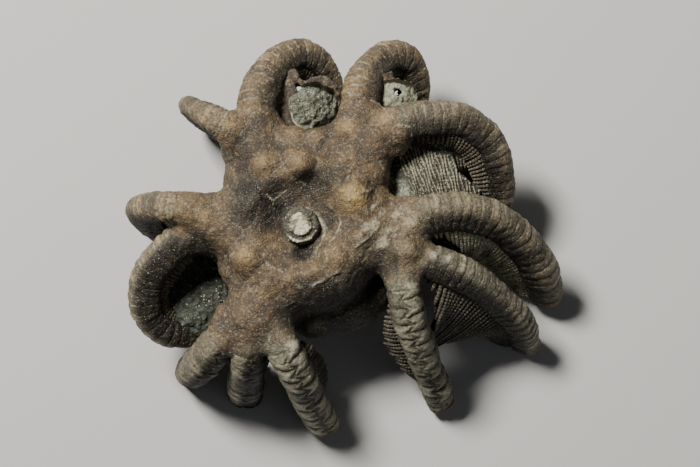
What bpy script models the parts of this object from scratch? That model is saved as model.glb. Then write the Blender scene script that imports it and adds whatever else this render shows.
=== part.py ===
"""A fossil crinoid: the stone crown of a sea lily, lying with its twelve arms down and its base up.

Lengths are in millimetres. Places are measured from the stem's axis and from the surface that the
fossil rests on, with +X to the right and +Y up for someone who looks down on the base. At the end
the whole crown is moved so that its origin is at the middle of its footprint.
"""
import math
from collections import namedtuple

import bmesh
import bpy
import numpy as np

MM = 0.001

# Cup: a round bowl, base up, with a pit for the stem and a dome underneath
PIT_RADIUS = 3.4
PIT_FLOOR = 24.2
RIM_RADIUS = 8.6
RIM_HEIGHT = 26.7
CUP_RADIUS = 14.0
SHOULDER_HEIGHT = 21.5
DOME_RADIUS = 9.5
DOME_BOTTOM = 8.4
CUP_GRAIN = 0.5
CUP_TRIANGLES = 2200
CUP_SIDES = 48
RAY_BALLS = 6

# Stem: round ossicles that stand in the pit
STEM_RADIUS = 2.9
STEM_HEIGHT = 2.3
OSSICLE_HEIGHT = 0.75
STEM_SIDES = 16

# Arms
PLATE_PITCH = 2.2
SEAM_DEPTH = 0.07
FRINGE_THICKNESS = 1.5
ROOT_FRINGE = 0.6
FRINGE_SHARES = (0.17, 0.27, 0.5, 1.0)
TAPER_POWER = 1.4
FULL_LEAN = 3.0
JOINT_GAP = 0.45
CLEARANCE = 0.3
BACK_DEGREES = (-114, -76, -38, 0, 38, 76, 114)

Arm = namedtuple("Arm", "name route side_root side_tip root tip free fringe splay lean")

# Each arm has its centre line from its group's fork to its tip, the direction of its right side at
# both ends, its width and depth at both ends, how far along it leaves the cup, and its fringe:
# its length a quarter along, in the middle and at the tip, the angle that it leans to a side, and
# how much it leans to the tip
ARMS = [
    Arm("arm_01", [(-7.9, 13.6, 22.0), (-11.6, 15.5, 23.0), (-14.6, 17.3, 22.3), (-16.9, 18.7, 18.5),
                   (-17.9, 19.2, 13.0), (-17.3, 18.7, 7.6), (-15.2, 17.3, 3.2), (-11.8, 15.1, 1.8)],
        (0.55, 0.83, 0.0), (0.5, 0.86, 0.1), (5.2, 5.6), (3.9, 4.0), 5.6, (1.2, 1.3, 0.4), 0, 0.2),
    Arm("arm_02", [(-6.0, 13.3, 21.5), (-7.1, 17.3, 22.0), (-6.5, 21.8, 20.5), (-4.2, 25.9, 18.0),
                   (-0.9, 27.7, 15.5), (2.3, 26.4, 13.0), (4.0, 22.9, 11.0), (2.9, 19.2, 9.0),
                   (0.3, 17.3, 7.5)],
        (0.65, 0.0, 0.76), (0.3, 0.1, 0.95), (5.4, 6.6), (4.2, 4.4), 5.4, (1.0, 0.8, 0.5), 0, 0.2),
    Arm("arm_03", [(9.7, 15.1, 21.5), (9.5, 19.6, 21.5), (10.6, 23.9, 19.5), (13.4, 27.1, 17.0),
                   (16.7, 26.8, 14.5), (18.3, 23.6, 12.5), (18.1, 20.5, 10.5), (16.7, 17.9, 8.5)],
        (0.55, 0.0, 0.83), (0.2, 0.1, 0.97), (5.4, 6.4), (4.4, 4.6), 4.2, (0.4, 0.2, 0.3), 0, 0.1),
    Arm("arm_04", [(12.9, 13.8, 21.8), (16.0, 16.3, 23.0), (20.5, 17.1, 22.5), (25.4, 16.7, 21.0),
                   (29.2, 14.1, 18.5), (31.5, 9.5, 15.5), (31.8, 4.6, 12.0), (29.9, 0.7, 8.5)],
        (0.1, -0.35, 0.93), (0.2, 0.1, 0.97), (5.2, 6.2), (4.4, 5.4), 5.6, (2.4, 4.0, 2.0), -25, 0.5),
    Arm("arm_05", [(14.9, 0.0, 21.5), (19.7, 1.4, 22.8), (25.3, 2.1, 22.0), (31.1, 0.7, 19.5),
                   (35.8, -3.0, 15.0), (38.8, -7.3, 9.5), (40.4, -11.3, 2.9)],
        (-0.1, -0.55, 0.82), (-0.45, -0.45, 0.77), (5.6, 6.8), (5.0, 6.2), 5.6, (3.8, 5.5, 2.5), 0, 0.5),
    Arm("arm_06", [(16.1, -4.1, 21.2), (21.5, -6.1, 21.5), (26.5, -8.2, 20.0), (31.4, -11.8, 16.0),
                   (35.4, -15.9, 10.0), (37.2, -19.7, 1.3)],
        (-0.3, -0.5, 0.8), (-0.5, -0.45, 0.74), (5.0, 6.0), (4.2, 5.2), 5.2, (9.0, 12.0, 2.4), 18, 0.2),
    Arm("arm_07", [(15.1, -4.8, 21.2), (16.0, -9.2, 22.6), (17.2, -14.3, 20.6), (18.9, -19.4, 16.0),
                   (21.1, -24.5, 9.6), (23.0, -29.1, 1.6)],
        (-1.0, 0.1, 0.0), (-0.95, -0.3, 0.0), (5.4, 5.4), (4.2, 4.4), 6.0, (2.2, 4.6, 1.2), 54, 0.3),
    Arm("arm_08", [(-5.4, -14.7, 21.5), (-3.0, -19.2, 22.4), (-0.8, -23.8, 18.6), (1.3, -28.6, 10.8),
                   (3.2, -32.8, 1.4)],
        (-0.9, -0.4, 0.0), (-0.88, -0.45, 0.0), (5.6, 5.6), (5.0, 5.0), 4.6, (2.6, 4.2, 0.8), -44, 0.4),
    Arm("arm_09", [(-8.0, -14.4, 21.2), (-8.4, -18.9, 21.4), (-9.0, -22.6, 17.0), (-9.4, -25.4, 10.0),
                   (-9.9, -27.8, -0.8)],
        (-0.96, 0.1, 0.25), (-0.96, 0.1, 0.25), (5.6, 6.0), (5.7, 5.6), 6.8, (1.8, 5.0, 1.5), -32, 0.4),
    Arm("arm_10", [(-9.9, -14.7, 21.2), (-13.5, -18.8, 20.6), (-15.7, -21.7, 15.5),
                   (-17.7, -23.4, 8.5), (-18.8, -24.3, -0.6)],
        (-0.8, 0.35, 0.5), (-0.8, 0.35, 0.5), (5.6, 6.2), (5.6, 5.8), 6.4, (1.2, 2.6, 1.2), 0, 0.4),
    Arm("arm_11", [(-14.4, -0.3, 21.0), (-18.6, -2.2, 21.0), (-22.3, -5.1, 20.5), (-25.0, -9.2, 18.5),
                   (-25.1, -13.6, 16.0), (-22.6, -16.8, 13.5), (-19.0, -17.4, 11.0),
                   (-16.0, -15.5, 9.0), (-15.1, -12.7, 7.5)],
        (-0.45, 0.15, -0.88), (-0.1, 0.0, -0.99), (5.0, 6.0), (3.8, 4.4), 5.2, (1.2, 1.0, 0.3), 0, 0.2),
    Arm("arm_12", [(-13.9, 1.6, 22.0), (-18.4, 2.7, 23.2), (-22.3, 3.2, 22.5), (-25.2, 3.1, 18.5),
                   (-26.3, 2.3, 13.0), (-25.8, 1.0, 7.6), (-23.7, -0.6, 3.2), (-20.2, -1.9, 1.8)],
        (0.1, 0.99, 0.0), (0.4, 0.9, 0.1), (5.0, 5.6), (4.4, 4.2), 5.2, (1.2, 1.3, 0.4), 0, 0.2),
]

# Arms that press against a neighbour, which keeps its shape
TRIMMED_BY = {
    "arm_06": ("arm_07",),
    "arm_11": ("arm_10",),
}

# Rays: from the cup's middle to each fork, as ends of a round limb with its radius at both ends
RAYS = [
    ((-3.5, 6.0, 20.0), 5.6, (-7.4, 13.0, 21.4), 4.4),
    ((5.0, 6.5, 20.0), 5.6, (11.0, 13.4, 21.4), 4.5),
    ((7.5, -1.0, 20.0), 5.4, (15.2, -2.2, 21.3), 4.9),
    ((-3.0, -7.0, 20.0), 5.6, (-7.4, -14.0, 20.8), 5.4),
    ((-7.0, 0.5, 20.0), 5.4, (-14.4, 0.8, 21.2), 4.5),
]

# Swollen plates of the cup: middle and radius of the ball that each stands proud with
CUP_PLATES = [
    ((0.0, 9.6, 24.9), 2.6), ((8.2, 4.8, 24.6), 3.1), ((6.9, 15.0, 22.6), 2.5),
    ((-6.0, 9.7, 24.2), 2.7), ((-1.1, 13.9, 22.6), 2.3), ((2.6, 13.5, 22.8), 2.3),
    ((11.9, 3.9, 22.8), 2.6), ((16.9, 0.9, 23.2), 2.0), ((16.9, -3.5, 23.6), 1.5),
    ((-8.2, -5.0, 24.3), 3.2), ((-5.0, -8.2, 24.3), 2.8), ((-1.6, -8.6, 24.4), 2.5),
    ((2.2, -7.3, 24.6), 2.4), ((5.8, -4.6, 24.7), 2.5), ((9.2, -1.6, 24.7), 2.6),
    ((-8.9, 3.0, 24.5), 2.8), ((-15.5, 1.6, 22.9), 2.4), ((-10.8, 15.0, 22.4), 2.4),
    ((11.6, 8.4, 22.4), 2.7), ((3.6, -9.8, 22.2), 2.4), ((7.6, -8.6, 22.0), 2.6),
    ((-8.0, -12.6, 22.6), 3.0), ((-8.4, 7.6, 19.8), 4.4), ((-9.9, -6.4, 19.6), 4.0),
    ((4.6, 11.6, 20.0), 5.0), ((11.2, 5.6, 19.6), 3.2), ((-9.9, 12.0, 20.5), 3.2),
    ((-9.8, 15.7, 21.2), 2.5),
]

# Dome under the cup: the bulge between the two lowest groups, and a ring of knobs
BULGE = [((7.6, -11.2, 14.6), 6.0), ((1.9, -13.4, 15.2), 4.9), ((12.0, -9.8, 14.6), 4.4)]
KNOB_RADIUS = 2.3
KNOB_RING = 6.6
KNOB_COUNT = 7
KNOB_HEIGHT = 11.4

# Stone in the hollows: middle, half sizes, and the arms that it is fitted between
Plug = namedtuple("Plug", "name middle half beside")
PLUGS = [
    Plug("matrix_in_arm_02", (0.4, 20.4, 13.0), (5.9, 5.6, 3.2), ("arm_02",)),
    Plug("matrix_in_arm_03", (15.0, 20.9, 13.6), (3.8, 4.2, 3.2), ("arm_03", "arm_04")),
    Plug("matrix_under_arm_04", (20.6, 8.1, 13.0), (8.8, 7.3, 3.4), ("arm_04", "arm_05")),
    Plug("matrix_beside_arm_06", (22.3, -3.0, 14.6), (5.4, 2.9, 3.6), ("arm_05", "arm_06")),
    Plug("matrix_in_arm_11", (-18.2, -10.8, 11.8), (5.4, 5.8, 2.8), ("arm_11",)),
]
UNEVENNESS = 0.05
HOLE_DEPTH = 20.0
HOLE_SIDES = 12
PLUG_HOLES = {
    "matrix_in_arm_02": ((-0.6, 22.4), 0.8),
    "matrix_in_arm_03": ((15.4, 21.5), 0.75),
}

BROWN = (0.215, 0.150, 0.098)
CUP_BROWN = (0.205, 0.150, 0.108)
CREAM = (0.47, 0.43, 0.31)
GREY_GREEN = (0.30, 0.32, 0.25)


def clear_scene():
    for thing in list(bpy.data.objects):
        bpy.data.objects.remove(thing, do_unlink=True)


def stone(name, colour, roughness):
    finish = bpy.data.materials.new(name)
    finish.use_nodes = True
    shader = finish.node_tree.nodes["Principled BSDF"]
    shader.inputs["Base Color"].default_value = (*colour, 1.0)
    shader.inputs["Roughness"].default_value = roughness
    shader.inputs["Metallic"].default_value = 0.0
    return finish


def new_piece(name, bm, finish):
    """Make an object of a mesh in millimetres, with its faces pointing out and shaded smooth."""
    bmesh.ops.recalc_face_normals(bm, faces=bm.faces)
    bmesh.ops.scale(bm, vec=(MM, MM, MM), verts=bm.verts)
    mesh = bpy.data.meshes.new(name)
    bm.to_mesh(mesh)
    bm.free()
    mesh.materials.append(finish)
    mesh.shade_smooth()
    piece = bpy.data.objects.new(name, mesh)
    bpy.context.collection.objects.link(piece)
    return piece


def apply_modifiers(piece):
    """Keep what the modifiers make, and the largest body of it."""
    graph = bpy.context.evaluated_depsgraph_get()
    made = bpy.data.meshes.new_from_object(piece.evaluated_get(graph))
    piece.modifiers.clear()
    bm = bmesh.new()
    bm.from_mesh(made)
    bmesh.ops.remove_doubles(bm, verts=bm.verts, dist=0.01 * MM)
    keep_largest_body(bm)
    bm.to_mesh(made)
    bm.free()
    made.shade_smooth()
    made.name = piece.name
    piece.data = made


def keep_largest_body(bm):
    bodies = []
    left = set(bm.verts)
    while left:
        body = {left.pop()}
        edge = list(body)
        while edge:
            near = {e.other_vert(v) for v in edge for e in v.link_edges} - body
            body |= near
            edge = list(near)
        left -= body
        bodies.append(body)
    bodies.sort(key=len)
    for body in bodies[:-1]:
        bmesh.ops.delete(bm, geom=list(body), context="VERTS")


def unit(vector):
    return np.asarray(vector, float) / np.linalg.norm(vector)


def smooth_route(points, steps=24):
    """A curve through the points, and the length along it at each step."""
    ends = [2 * np.array(points[0]) - points[1], 2 * np.array(points[-1]) - points[-2]]
    p = np.vstack([ends[0], points, ends[1]])
    curve = []
    for i in range(1, len(p) - 2):
        for t in np.arange(steps) / steps:
            curve.append(0.5 * (2 * p[i] + (p[i + 1] - p[i - 1]) * t
                                + (2 * p[i - 1] - 5 * p[i] + 4 * p[i + 1] - p[i + 2]) * t**2
                                + (3 * p[i] - p[i - 1] - 3 * p[i + 1] + p[i + 2]) * t**3))
    curve.append(p[-2])
    curve = np.array(curve)
    lengths = np.concatenate([[0], np.cumsum(np.linalg.norm(np.diff(curve, axis=0), axis=1))])
    return curve, lengths


def arm_frames(arm, stations):
    """The centre, the side and the back of the arm at each distance along it."""
    curve, lengths = smooth_route(arm.route)
    along = np.gradient(curve, lengths, axis=0)
    frames = []
    for s in stations:
        share = s / lengths[-1]
        centre = np.array([np.interp(s, lengths, curve[:, k]) for k in range(3)])
        forward = unit([np.interp(s, lengths, along[:, k]) for k in range(3)])
        side = (1 - share) * np.array(arm.side_root) + share * np.array(arm.side_tip)
        side = unit(side - forward * np.dot(side, forward))
        frames.append((share, centre, forward, side, np.cross(side, forward)))
    return frames


def arm_ring(arm, frame, relief, grow):
    """One closed outline round the arm: its rounded back, and the edge of its fringe."""
    share, centre, forward, side, back = frame
    taper = share**TAPER_POWER
    width = (arm.root[0] + (arm.tip[0] - arm.root[0]) * taper) * relief + 2 * grow
    depth = (arm.root[1] + (arm.tip[1] - arm.root[1]) * taper) * relief + 2 * grow
    ring = []
    for degrees in BACK_DEGREES:
        angle = math.radians(degrees)
        ring.append(centre + side * width / 2 * math.sin(angle) + back * depth / 2 * math.cos(angle))
    fringe = np.interp(share, FRINGE_SHARES, (ROOT_FRINGE,) + arm.fringe)
    lean = math.radians(arm.splay) * min(1.0, fringe / FULL_LEAN)
    reach = depth / 2 + fringe + grow
    middle = centre + reach * (side * math.sin(lean) - back * math.cos(lean))
    middle = middle + forward * arm.lean * fringe
    across = (side * math.cos(lean) + back * math.sin(lean)) * (FRINGE_THICKNESS / 2 + grow)
    ring += [middle + across, middle - across]
    return [(p[0], p[1], max(p[2], -grow)) for p in ring]


def loft(bm, rings):
    """Join rings of equal count into one closed body with a fan at each end."""
    verts = [[bm.verts.new(p) for p in ring] for ring in rings]
    count = len(rings[0])
    for low, high in zip(verts, verts[1:]):
        for k in range(count):
            bm.faces.new((low[k], low[(k + 1) % count], high[(k + 1) % count], high[k]))
    for ring in (verts[0], verts[-1]):
        middle = bm.verts.new(np.mean([tuple(v.co) for v in ring], axis=0))
        for k in range(count):
            bm.faces.new((ring[k], ring[(k + 1) % count], middle))


def arm_body(arm, start, end, grow=0.0):
    """Loft the arm between two distances, one crown and one seam to each plate."""
    plates = max(1, round((end - start) / PLATE_PITCH))
    stations = np.linspace(start - grow, end + grow, 2 * plates + 1)
    rings = []
    for i, frame in enumerate(arm_frames(arm, stations)):
        relief = 1.0 if i % 2 else 1.0 - SEAM_DEPTH
        rings.append(arm_ring(arm, frame, relief, grow))
    bm = bmesh.new()
    loft(bm, rings)
    bmesh.ops.triangulate(bm, faces=bm.faces)
    return bm


def arm_length(arm):
    return smooth_route(arm.route)[1][-1]


def build_arm(arm, finish, cutters):
    """The arm, trimmed where it would touch the cup or a neighbour."""
    piece = new_piece(arm.name, arm_body(arm, arm.free + JOINT_GAP, arm_length(arm)), finish)
    for name in TRIMMED_BY.get(arm.name, ()):
        cut(piece, cutters[name])
    return piece


def add_ball(bm, middle, radius):
    made = bmesh.ops.create_icosphere(bm, subdivisions=3, radius=radius)
    bmesh.ops.translate(bm, vec=middle, verts=made["verts"])


def add_turned(bm, profile, segments):
    """Turn a profile of radius and height about the axis. It starts and ends on the axis."""
    rings = []
    for radius, height in profile:
        if radius == 0:
            rings.append([bm.verts.new((0, 0, height))])
            continue
        angles = [2 * math.pi * k / segments for k in range(segments)]
        rings.append([bm.verts.new((radius * math.cos(a), radius * math.sin(a), height)) for a in angles])
    for low, high in zip(rings, rings[1:]):
        for k in range(segments):
            corners = [low[k % len(low)], low[(k + 1) % len(low)]]
            corners += [high[(k + 1) % len(high)], high[k % len(high)]]
            bm.faces.new(list(dict.fromkeys(corners)))


def cup_profile():
    """Down from the pit's floor, over the rim and the shoulder, and under the dome."""
    return [(0, PIT_FLOOR), (PIT_RADIUS, PIT_FLOOR), (PIT_RADIUS + 1.4, PIT_FLOOR + 0.6),
            (RIM_RADIUS - 1.4, RIM_HEIGHT - 0.5), (RIM_RADIUS, RIM_HEIGHT),
            (RIM_RADIUS + 2.2, RIM_HEIGHT - 0.5), (CUP_RADIUS - 1.4, RIM_HEIGHT - 2.4),
            (CUP_RADIUS, SHOULDER_HEIGHT), (CUP_RADIUS - 0.8, SHOULDER_HEIGHT - 3.5),
            (DOME_RADIUS + 1.8, SHOULDER_HEIGHT - 6.5), (DOME_RADIUS, DOME_BOTTOM + 4.0),
            (DOME_RADIUS - 3.5, DOME_BOTTOM + 1.0), (0, DOME_BOTTOM)]


def build_cup(finish):
    """Grow the bowl, the rays, the arms' first plates and the swollen plates into one skin."""
    bm = bmesh.new()
    add_turned(bm, cup_profile(), CUP_SIDES)
    for start, start_radius, end, end_radius in RAYS:
        for t in np.linspace(0, 1, RAY_BALLS):
            middle = (1 - t) * np.array(start) + t * np.array(end)
            add_ball(bm, middle, (1 - t) * start_radius + t * end_radius)
    for middle, radius in CUP_PLATES + BULGE:
        add_ball(bm, middle, radius)
    for k in range(KNOB_COUNT):
        angle = 2 * math.pi * k / KNOB_COUNT
        place = (KNOB_RING * math.cos(angle), KNOB_RING * math.sin(angle), KNOB_HEIGHT)
        add_ball(bm, place, KNOB_RADIUS)
    for arm in ARMS:
        stub = arm_body(arm, 0.0, arm.free)
        stub_mesh = bpy.data.meshes.new("stub")
        stub.to_mesh(stub_mesh)
        stub.free()
        bm.from_mesh(stub_mesh)
    piece = new_piece("calyx", bm, finish)
    remesh = piece.modifiers.new("one skin", "REMESH")
    remesh.mode = "VOXEL"
    remesh.voxel_size = CUP_GRAIN * MM
    soften = piece.modifiers.new("soften", "SMOOTH")
    soften.factor = 0.5
    soften.iterations = 2
    apply_modifiers(piece)
    thin = piece.modifiers.new("fewer faces", "DECIMATE")
    thin.ratio = CUP_TRIANGLES / (2 * len(piece.data.polygons))
    apply_modifiers(piece)
    return piece


def build_stem(finish):
    """Ossicles with a shallow waist between them, a bevelled top and a small hollow in it."""
    foot = PIT_FLOOR + CLEARANCE
    top = foot + STEM_HEIGHT
    profile = [(0, foot), (STEM_RADIUS * 1.12, foot), (STEM_RADIUS * 1.16, foot + 0.3)]
    height = foot + OSSICLE_HEIGHT
    while height < top - 0.4 * OSSICLE_HEIGHT:
        profile.append((STEM_RADIUS * 0.95, height))
        profile.append((STEM_RADIUS * 1.02, height + 0.5 * OSSICLE_HEIGHT))
        height += OSSICLE_HEIGHT
    profile += [(STEM_RADIUS * 0.8, top), (STEM_RADIUS * 0.45, top - 0.1), (0, top - 0.3)]
    bm = bmesh.new()
    add_turned(bm, profile, STEM_SIDES)
    return new_piece("stem", bm, finish)


def guide(name, bm):
    """A cutter, drawn as wire and left out of the model."""
    piece = new_piece(name, bm, bpy.data.materials["guide"])
    piece.hide_render = True
    piece.display_type = "WIRE"
    return piece


def cut(piece, cutter):
    gap = piece.modifiers.new("gap", "BOOLEAN")
    gap.operation = "DIFFERENCE"
    gap.solver = "EXACT"
    gap.use_self = True
    gap.object = cutter
    apply_modifiers(piece)


def build_cup_cutter(cup):
    """The cup's own surface, moved out by the clearance."""
    bm = bmesh.new()
    bm.from_mesh(cup.data)
    bm.normal_update()
    moved = [v.co / MM + v.normal * CLEARANCE for v in bm.verts]
    for vert, place in zip(bm.verts, moved):
        vert.co = place
    return guide("calyx_cutter", bm)


def build_plug(plug, finish, cutters):
    """A lump of stone, rounded and slightly uneven, fitted between the arms around it."""
    bm = bmesh.new()
    bmesh.ops.create_icosphere(bm, subdivisions=2, radius=1.0)
    for vert in bm.verts:
        x, y, z = (c * h for c, h in zip(vert.co, plug.half))
        swell = 1 + UNEVENNESS * math.sin(2.1 * x + 0.7) * math.cos(1.7 * y + 1.9 * z)
        vert.co = [m + swell * offset for m, offset in zip(plug.middle, (x, y, z))]
    piece = new_piece(plug.name, bm, finish)
    cut(piece, cutters["calyx"])
    for name in plug.beside:
        cut(piece, cutters[name])
    if plug.name in PLUG_HOLES:
        (x, y), radius = PLUG_HOLES[plug.name]
        bm = bmesh.new()
        bmesh.ops.create_cone(bm, cap_ends=True, segments=HOLE_SIDES, radius1=radius,
                              radius2=radius, depth=HOLE_DEPTH)
        bmesh.ops.translate(bm, vec=(x, y, plug.middle[2]), verts=bm.verts)
        cut(piece, guide(plug.name + "_hole", bm))
    return piece


def centre_crown(pieces):
    """Move the crown so that its origin is at the middle of its footprint."""
    bpy.context.view_layer.update()
    corners = np.array([v.co for piece in pieces for v in piece.data.vertices])
    low, high = corners.min(axis=0), corners.max(axis=0)
    crown = bpy.data.objects.new("crown", None)
    bpy.context.collection.objects.link(crown)
    crown.location = (-(low[0] + high[0]) / 2, -(low[1] + high[1]) / 2, -low[2])
    for piece in bpy.data.objects:
        if piece.type == "MESH":
            piece.parent = crown


def main():
    clear_scene()
    stone("guide", (0.5, 0.5, 0.5), 0.9)
    cup = build_cup(stone("calyx", CUP_BROWN, 0.7))
    pieces = [cup, build_stem(stone("stem", CREAM, 0.75))]
    cutters = {"calyx": build_cup_cutter(cup)}
    for arm in ARMS:
        body = arm_body(arm, arm.free, arm_length(arm), CLEARANCE)
        cutters[arm.name] = guide(arm.name + "_cutter", body)
    for arm in ARMS:
        pieces.append(build_arm(arm, stone(arm.name, BROWN, 0.65), cutters))
    for plug in PLUGS:
        pieces.append(build_plug(plug, stone(plug.name, GREY_GREEN, 0.8), cutters))
    centre_crown(pieces)


main()
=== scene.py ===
# %% [markdown]
# # A fossil crinoid, base up
#
# A crinoid, or sea lily, is an animal with a cup of stone plates on a stem, and arms that close over
# the cup. This fossil lies on its arms, so that the camera looks down on the cup's underside: a pit
# with the stub of the stem, five rays that fork, and twelve arms that curl away. The solids from the
# frame give every form its place. Here each of them gets its plates, seams, grain and colour.

import math
from collections import namedtuple

import bmesh
import bpy
import numpy as np
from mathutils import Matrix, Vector
from mathutils.bvhtree import BVHTree


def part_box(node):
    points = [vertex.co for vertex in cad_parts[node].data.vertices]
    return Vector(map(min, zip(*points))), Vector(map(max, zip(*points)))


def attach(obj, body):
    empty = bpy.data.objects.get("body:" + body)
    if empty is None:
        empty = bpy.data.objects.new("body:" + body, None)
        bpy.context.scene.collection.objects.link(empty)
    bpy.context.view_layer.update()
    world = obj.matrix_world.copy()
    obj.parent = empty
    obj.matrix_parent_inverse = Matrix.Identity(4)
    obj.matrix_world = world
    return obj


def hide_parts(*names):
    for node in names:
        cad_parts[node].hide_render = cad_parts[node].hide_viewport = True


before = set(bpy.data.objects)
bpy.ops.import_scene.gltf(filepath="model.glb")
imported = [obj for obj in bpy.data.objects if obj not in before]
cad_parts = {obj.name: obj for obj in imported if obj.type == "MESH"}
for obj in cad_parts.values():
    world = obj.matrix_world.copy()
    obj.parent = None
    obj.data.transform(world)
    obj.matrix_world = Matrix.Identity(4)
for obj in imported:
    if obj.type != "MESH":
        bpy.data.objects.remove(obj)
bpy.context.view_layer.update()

MM = 0.001
BODY = "root"
stem_low, stem_high = (np.array(corner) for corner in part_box("stem"))
AXIS = np.array([*(stem_low[:2] + stem_high[:2]) / 2, 0.0])


def to_world(points):
    """Millimetres from the stem's axis to metres in the frame."""
    return np.asarray(points, float) * MM + AXIS


def to_local(points):
    """Metres in the frame to millimetres from the stem's axis."""
    return (np.asarray(points, float) - AXIS) / MM


# %% [markdown]
# ## Grain without pictures
#
# Weathered stone is uneven at every size. A lattice of random numbers, blended smoothly between its
# corners, gives one size of unevenness, and a few lattices of shrinking size give the rest. The
# numbers come from a hash of the lattice's whole coordinates, so every run makes the same stone.

# %% Grain helpers
HASH_PRIMES = np.array([73856093, 19349663, 83492791], np.uint64)


def hashed(cells, seed):
    """A number from 0 to 1 for each row of whole numbers."""
    h = np.bitwise_xor.reduce(cells.astype(np.uint64) * HASH_PRIMES, axis=-1)
    h = (h ^ np.uint64(seed * 2654435761 % 2**32)) * np.uint64(6364136223846793005)
    h = (h ^ (h >> np.uint64(29))) * np.uint64(1442695040888963407)
    return (h >> np.uint64(40)).astype(float) / float(1 << 24)


def lattice(points, size, seed):
    """Smooth unevenness between -1 and 1 with features of the given size."""
    places = points / size + 1000.0
    cells = np.floor(places)
    part = places - cells
    part = part * part * (3 - 2 * part)
    total = 0.0
    for corner in np.ndindex(2, 2, 2):
        weight = np.prod(np.where(corner, part, 1 - part), axis=-1)
        total = total + weight * hashed(cells + corner, seed)
    return 2 * total - 1


def grain(points, size, seed, layers=3):
    """Unevenness of several sizes, each half as large and half as strong as the last."""
    total = 0.0
    for k in range(layers):
        total = total + lattice(points, size / 2**k, seed + k) / 2**k
    return total


def ease(x, low, high):
    """0 below low, 1 above high, and a smooth step between."""
    t = np.clip((x - low) / (high - low), 0, 1)
    return t * t * (3 - 2 * t)


print("grain at the origin", round(float(grain(np.zeros((1, 3)), 1.0, 1)[0]), 3))


# %% [markdown]
# ## Node maths as plain sums
#
# A material's pattern is arithmetic on sockets. One small class wraps a socket and turns Python's
# operators into Math nodes, so that a mask reads like a formula. Every other node comes from one
# method that takes the node's type, its settings and its sockets. Both serve modifiers as well.

# %% Node helpers
class Value:
    """A socket with Python's arithmetic."""

    def __init__(self, nodes, socket):
        self.nodes = nodes
        self.socket = socket

    def math(self, operation, *terms, clamp=False):
        settings = {"operation": operation, "use_clamp": clamp}
        return self.nodes.value("ShaderNodeMath", settings, dict(enumerate(terms)))

    def __add__(self, other):
        return self.math("ADD", self, other)

    def __sub__(self, other):
        return self.math("SUBTRACT", self, other)

    def __rsub__(self, other):
        return self.math("SUBTRACT", other, self)

    def __mul__(self, other):
        return self.math("MULTIPLY", self, other)

    def __truediv__(self, other):
        return self.math("DIVIDE", self, other)

    __radd__ = __add__
    __rmul__ = __mul__

    def above(self, low, high):
        """0 below low, 1 above high."""
        return self.math("MULTIPLY", self - low, 1 / (high - low), clamp=True)


class Nodes:
    """The nodes of one tree."""

    def __init__(self, tree):
        self.tree = tree

    def make(self, kind, settings, sockets):
        node = self.tree.nodes.new(kind)
        for key, setting in settings.items():
            setattr(node, key, setting)
        for key, given in sockets.items():
            self.feed(node.inputs[key], given)
        return node

    def value(self, kind, settings, sockets, output=0):
        """One output of a new node, ready for sums."""
        return Value(self, self.make(kind, settings, sockets).outputs[output])

    def feed(self, socket, given):
        if isinstance(given, Value):
            given = given.socket
        if isinstance(given, bpy.types.NodeSocket):
            self.tree.links.new(given, socket)
        elif socket.type == "RGBA":
            socket.default_value = (*given, 1.0)
        else:
            socket.default_value = given


print("node helpers:", Value.__name__, Nodes.__name__)


# %% [markdown]
# ## What every stone has
#
# All of the fossil's materials mix a few colours with noise of several sizes, put cream specks and
# crusts and dark stains on top, and end in a fine bump. These are methods of one class, so that each
# finish below only says what it mixes, and where.

# %% Stone helpers
class Stone(Nodes):
    """The nodes of one material, with what every stone on the fossil has."""

    def __init__(self, name):
        self.material = bpy.data.materials.new(name)
        self.material.use_nodes = True
        super().__init__(self.material.node_tree)
        self.shader = self.tree.nodes["Principled BSDF"]
        self.place = self.make("ShaderNodeTexCoord", {}, {}).outputs["Object"]

    def noise(self, size_mm, detail):
        return self.value("ShaderNodeTexNoise", {},
                          {"Vector": self.place, "Scale": 1 / (size_mm * MM), "Detail": detail})

    def attribute(self, name):
        return self.value("ShaderNodeAttribute", {"attribute_name": name}, {}, "Fac")

    def blend(self, factor, first, second):
        node = self.make("ShaderNodeMix", {"data_type": "RGBA"}, {0: factor, 6: first, 7: second})
        return node.outputs[2]

    def specks(self, size_mm, reach, share):
        """Round specks: reach is their radius in cells, and share how many cells have one."""
        node = self.make("ShaderNodeTexVoronoi", {},
                         {"Vector": self.place, "Scale": 1 / (size_mm * MM)})
        near = 1 - Value(self, node.outputs["Distance"]).above(reach * 0.6, reach)
        pick = self.value("ShaderNodeSeparateColor", {}, {0: node.outputs["Color"]})
        return near * pick.above(1 - share, 1 - share + 0.02)

    def crust(self, fine):
        return (self.noise(0.40, 2.0) + fine * 0.6).above(0.84, 1.18) * 0.45

    def stains(self):
        return (1 - self.noise(0.50, 3.0)).above(0.46, 0.72) * 0.75

    def finish(self, colour, roughness, height, bump_mm):
        """Link what changes over the surface, and give the material."""
        bump = self.make("ShaderNodeBump", {},
                         {"Strength": 1.0, "Distance": bump_mm * MM, "Height": height})
        ends = {"Base Color": colour, "Roughness": roughness, "Normal": bump.outputs[0]}
        for key, given in ends.items():
            self.feed(self.shader.inputs[key], given)
        return self.material


# Colours, as the shader's linear numbers
UMBER = (0.060, 0.043, 0.030)
BROWN = (0.106, 0.074, 0.042)
TAN = (0.25, 0.168, 0.085)
YELLOW_TAN = (0.42, 0.290, 0.118)
PURPLE_GREY = (0.066, 0.052, 0.041)
# Soot stands for dirt and for painted shade, and the next, nearly black, for painted deep shadow
SOOT_AND_SHADE = (0.030, 0.027, 0.022)
PAINTED_SHADOW = (0.008, 0.008, 0.007)
CREAM = (0.66, 0.62, 0.44)
OLIVE = (0.165, 0.164, 0.118)
# A painted highlight on olive plates
OLIVE_HIGHLIGHT = (0.50, 0.48, 0.35)
RUST = (0.22, 0.13, 0.07)
# Dirty pinnules, darkened further as painted shade between the arms
DIRTY_SHADED_PINNULE = (0.060, 0.058, 0.046)
PALE_PINNULE = (0.15, 0.155, 0.115)
print("the fossil's main brown is", BROWN)
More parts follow.
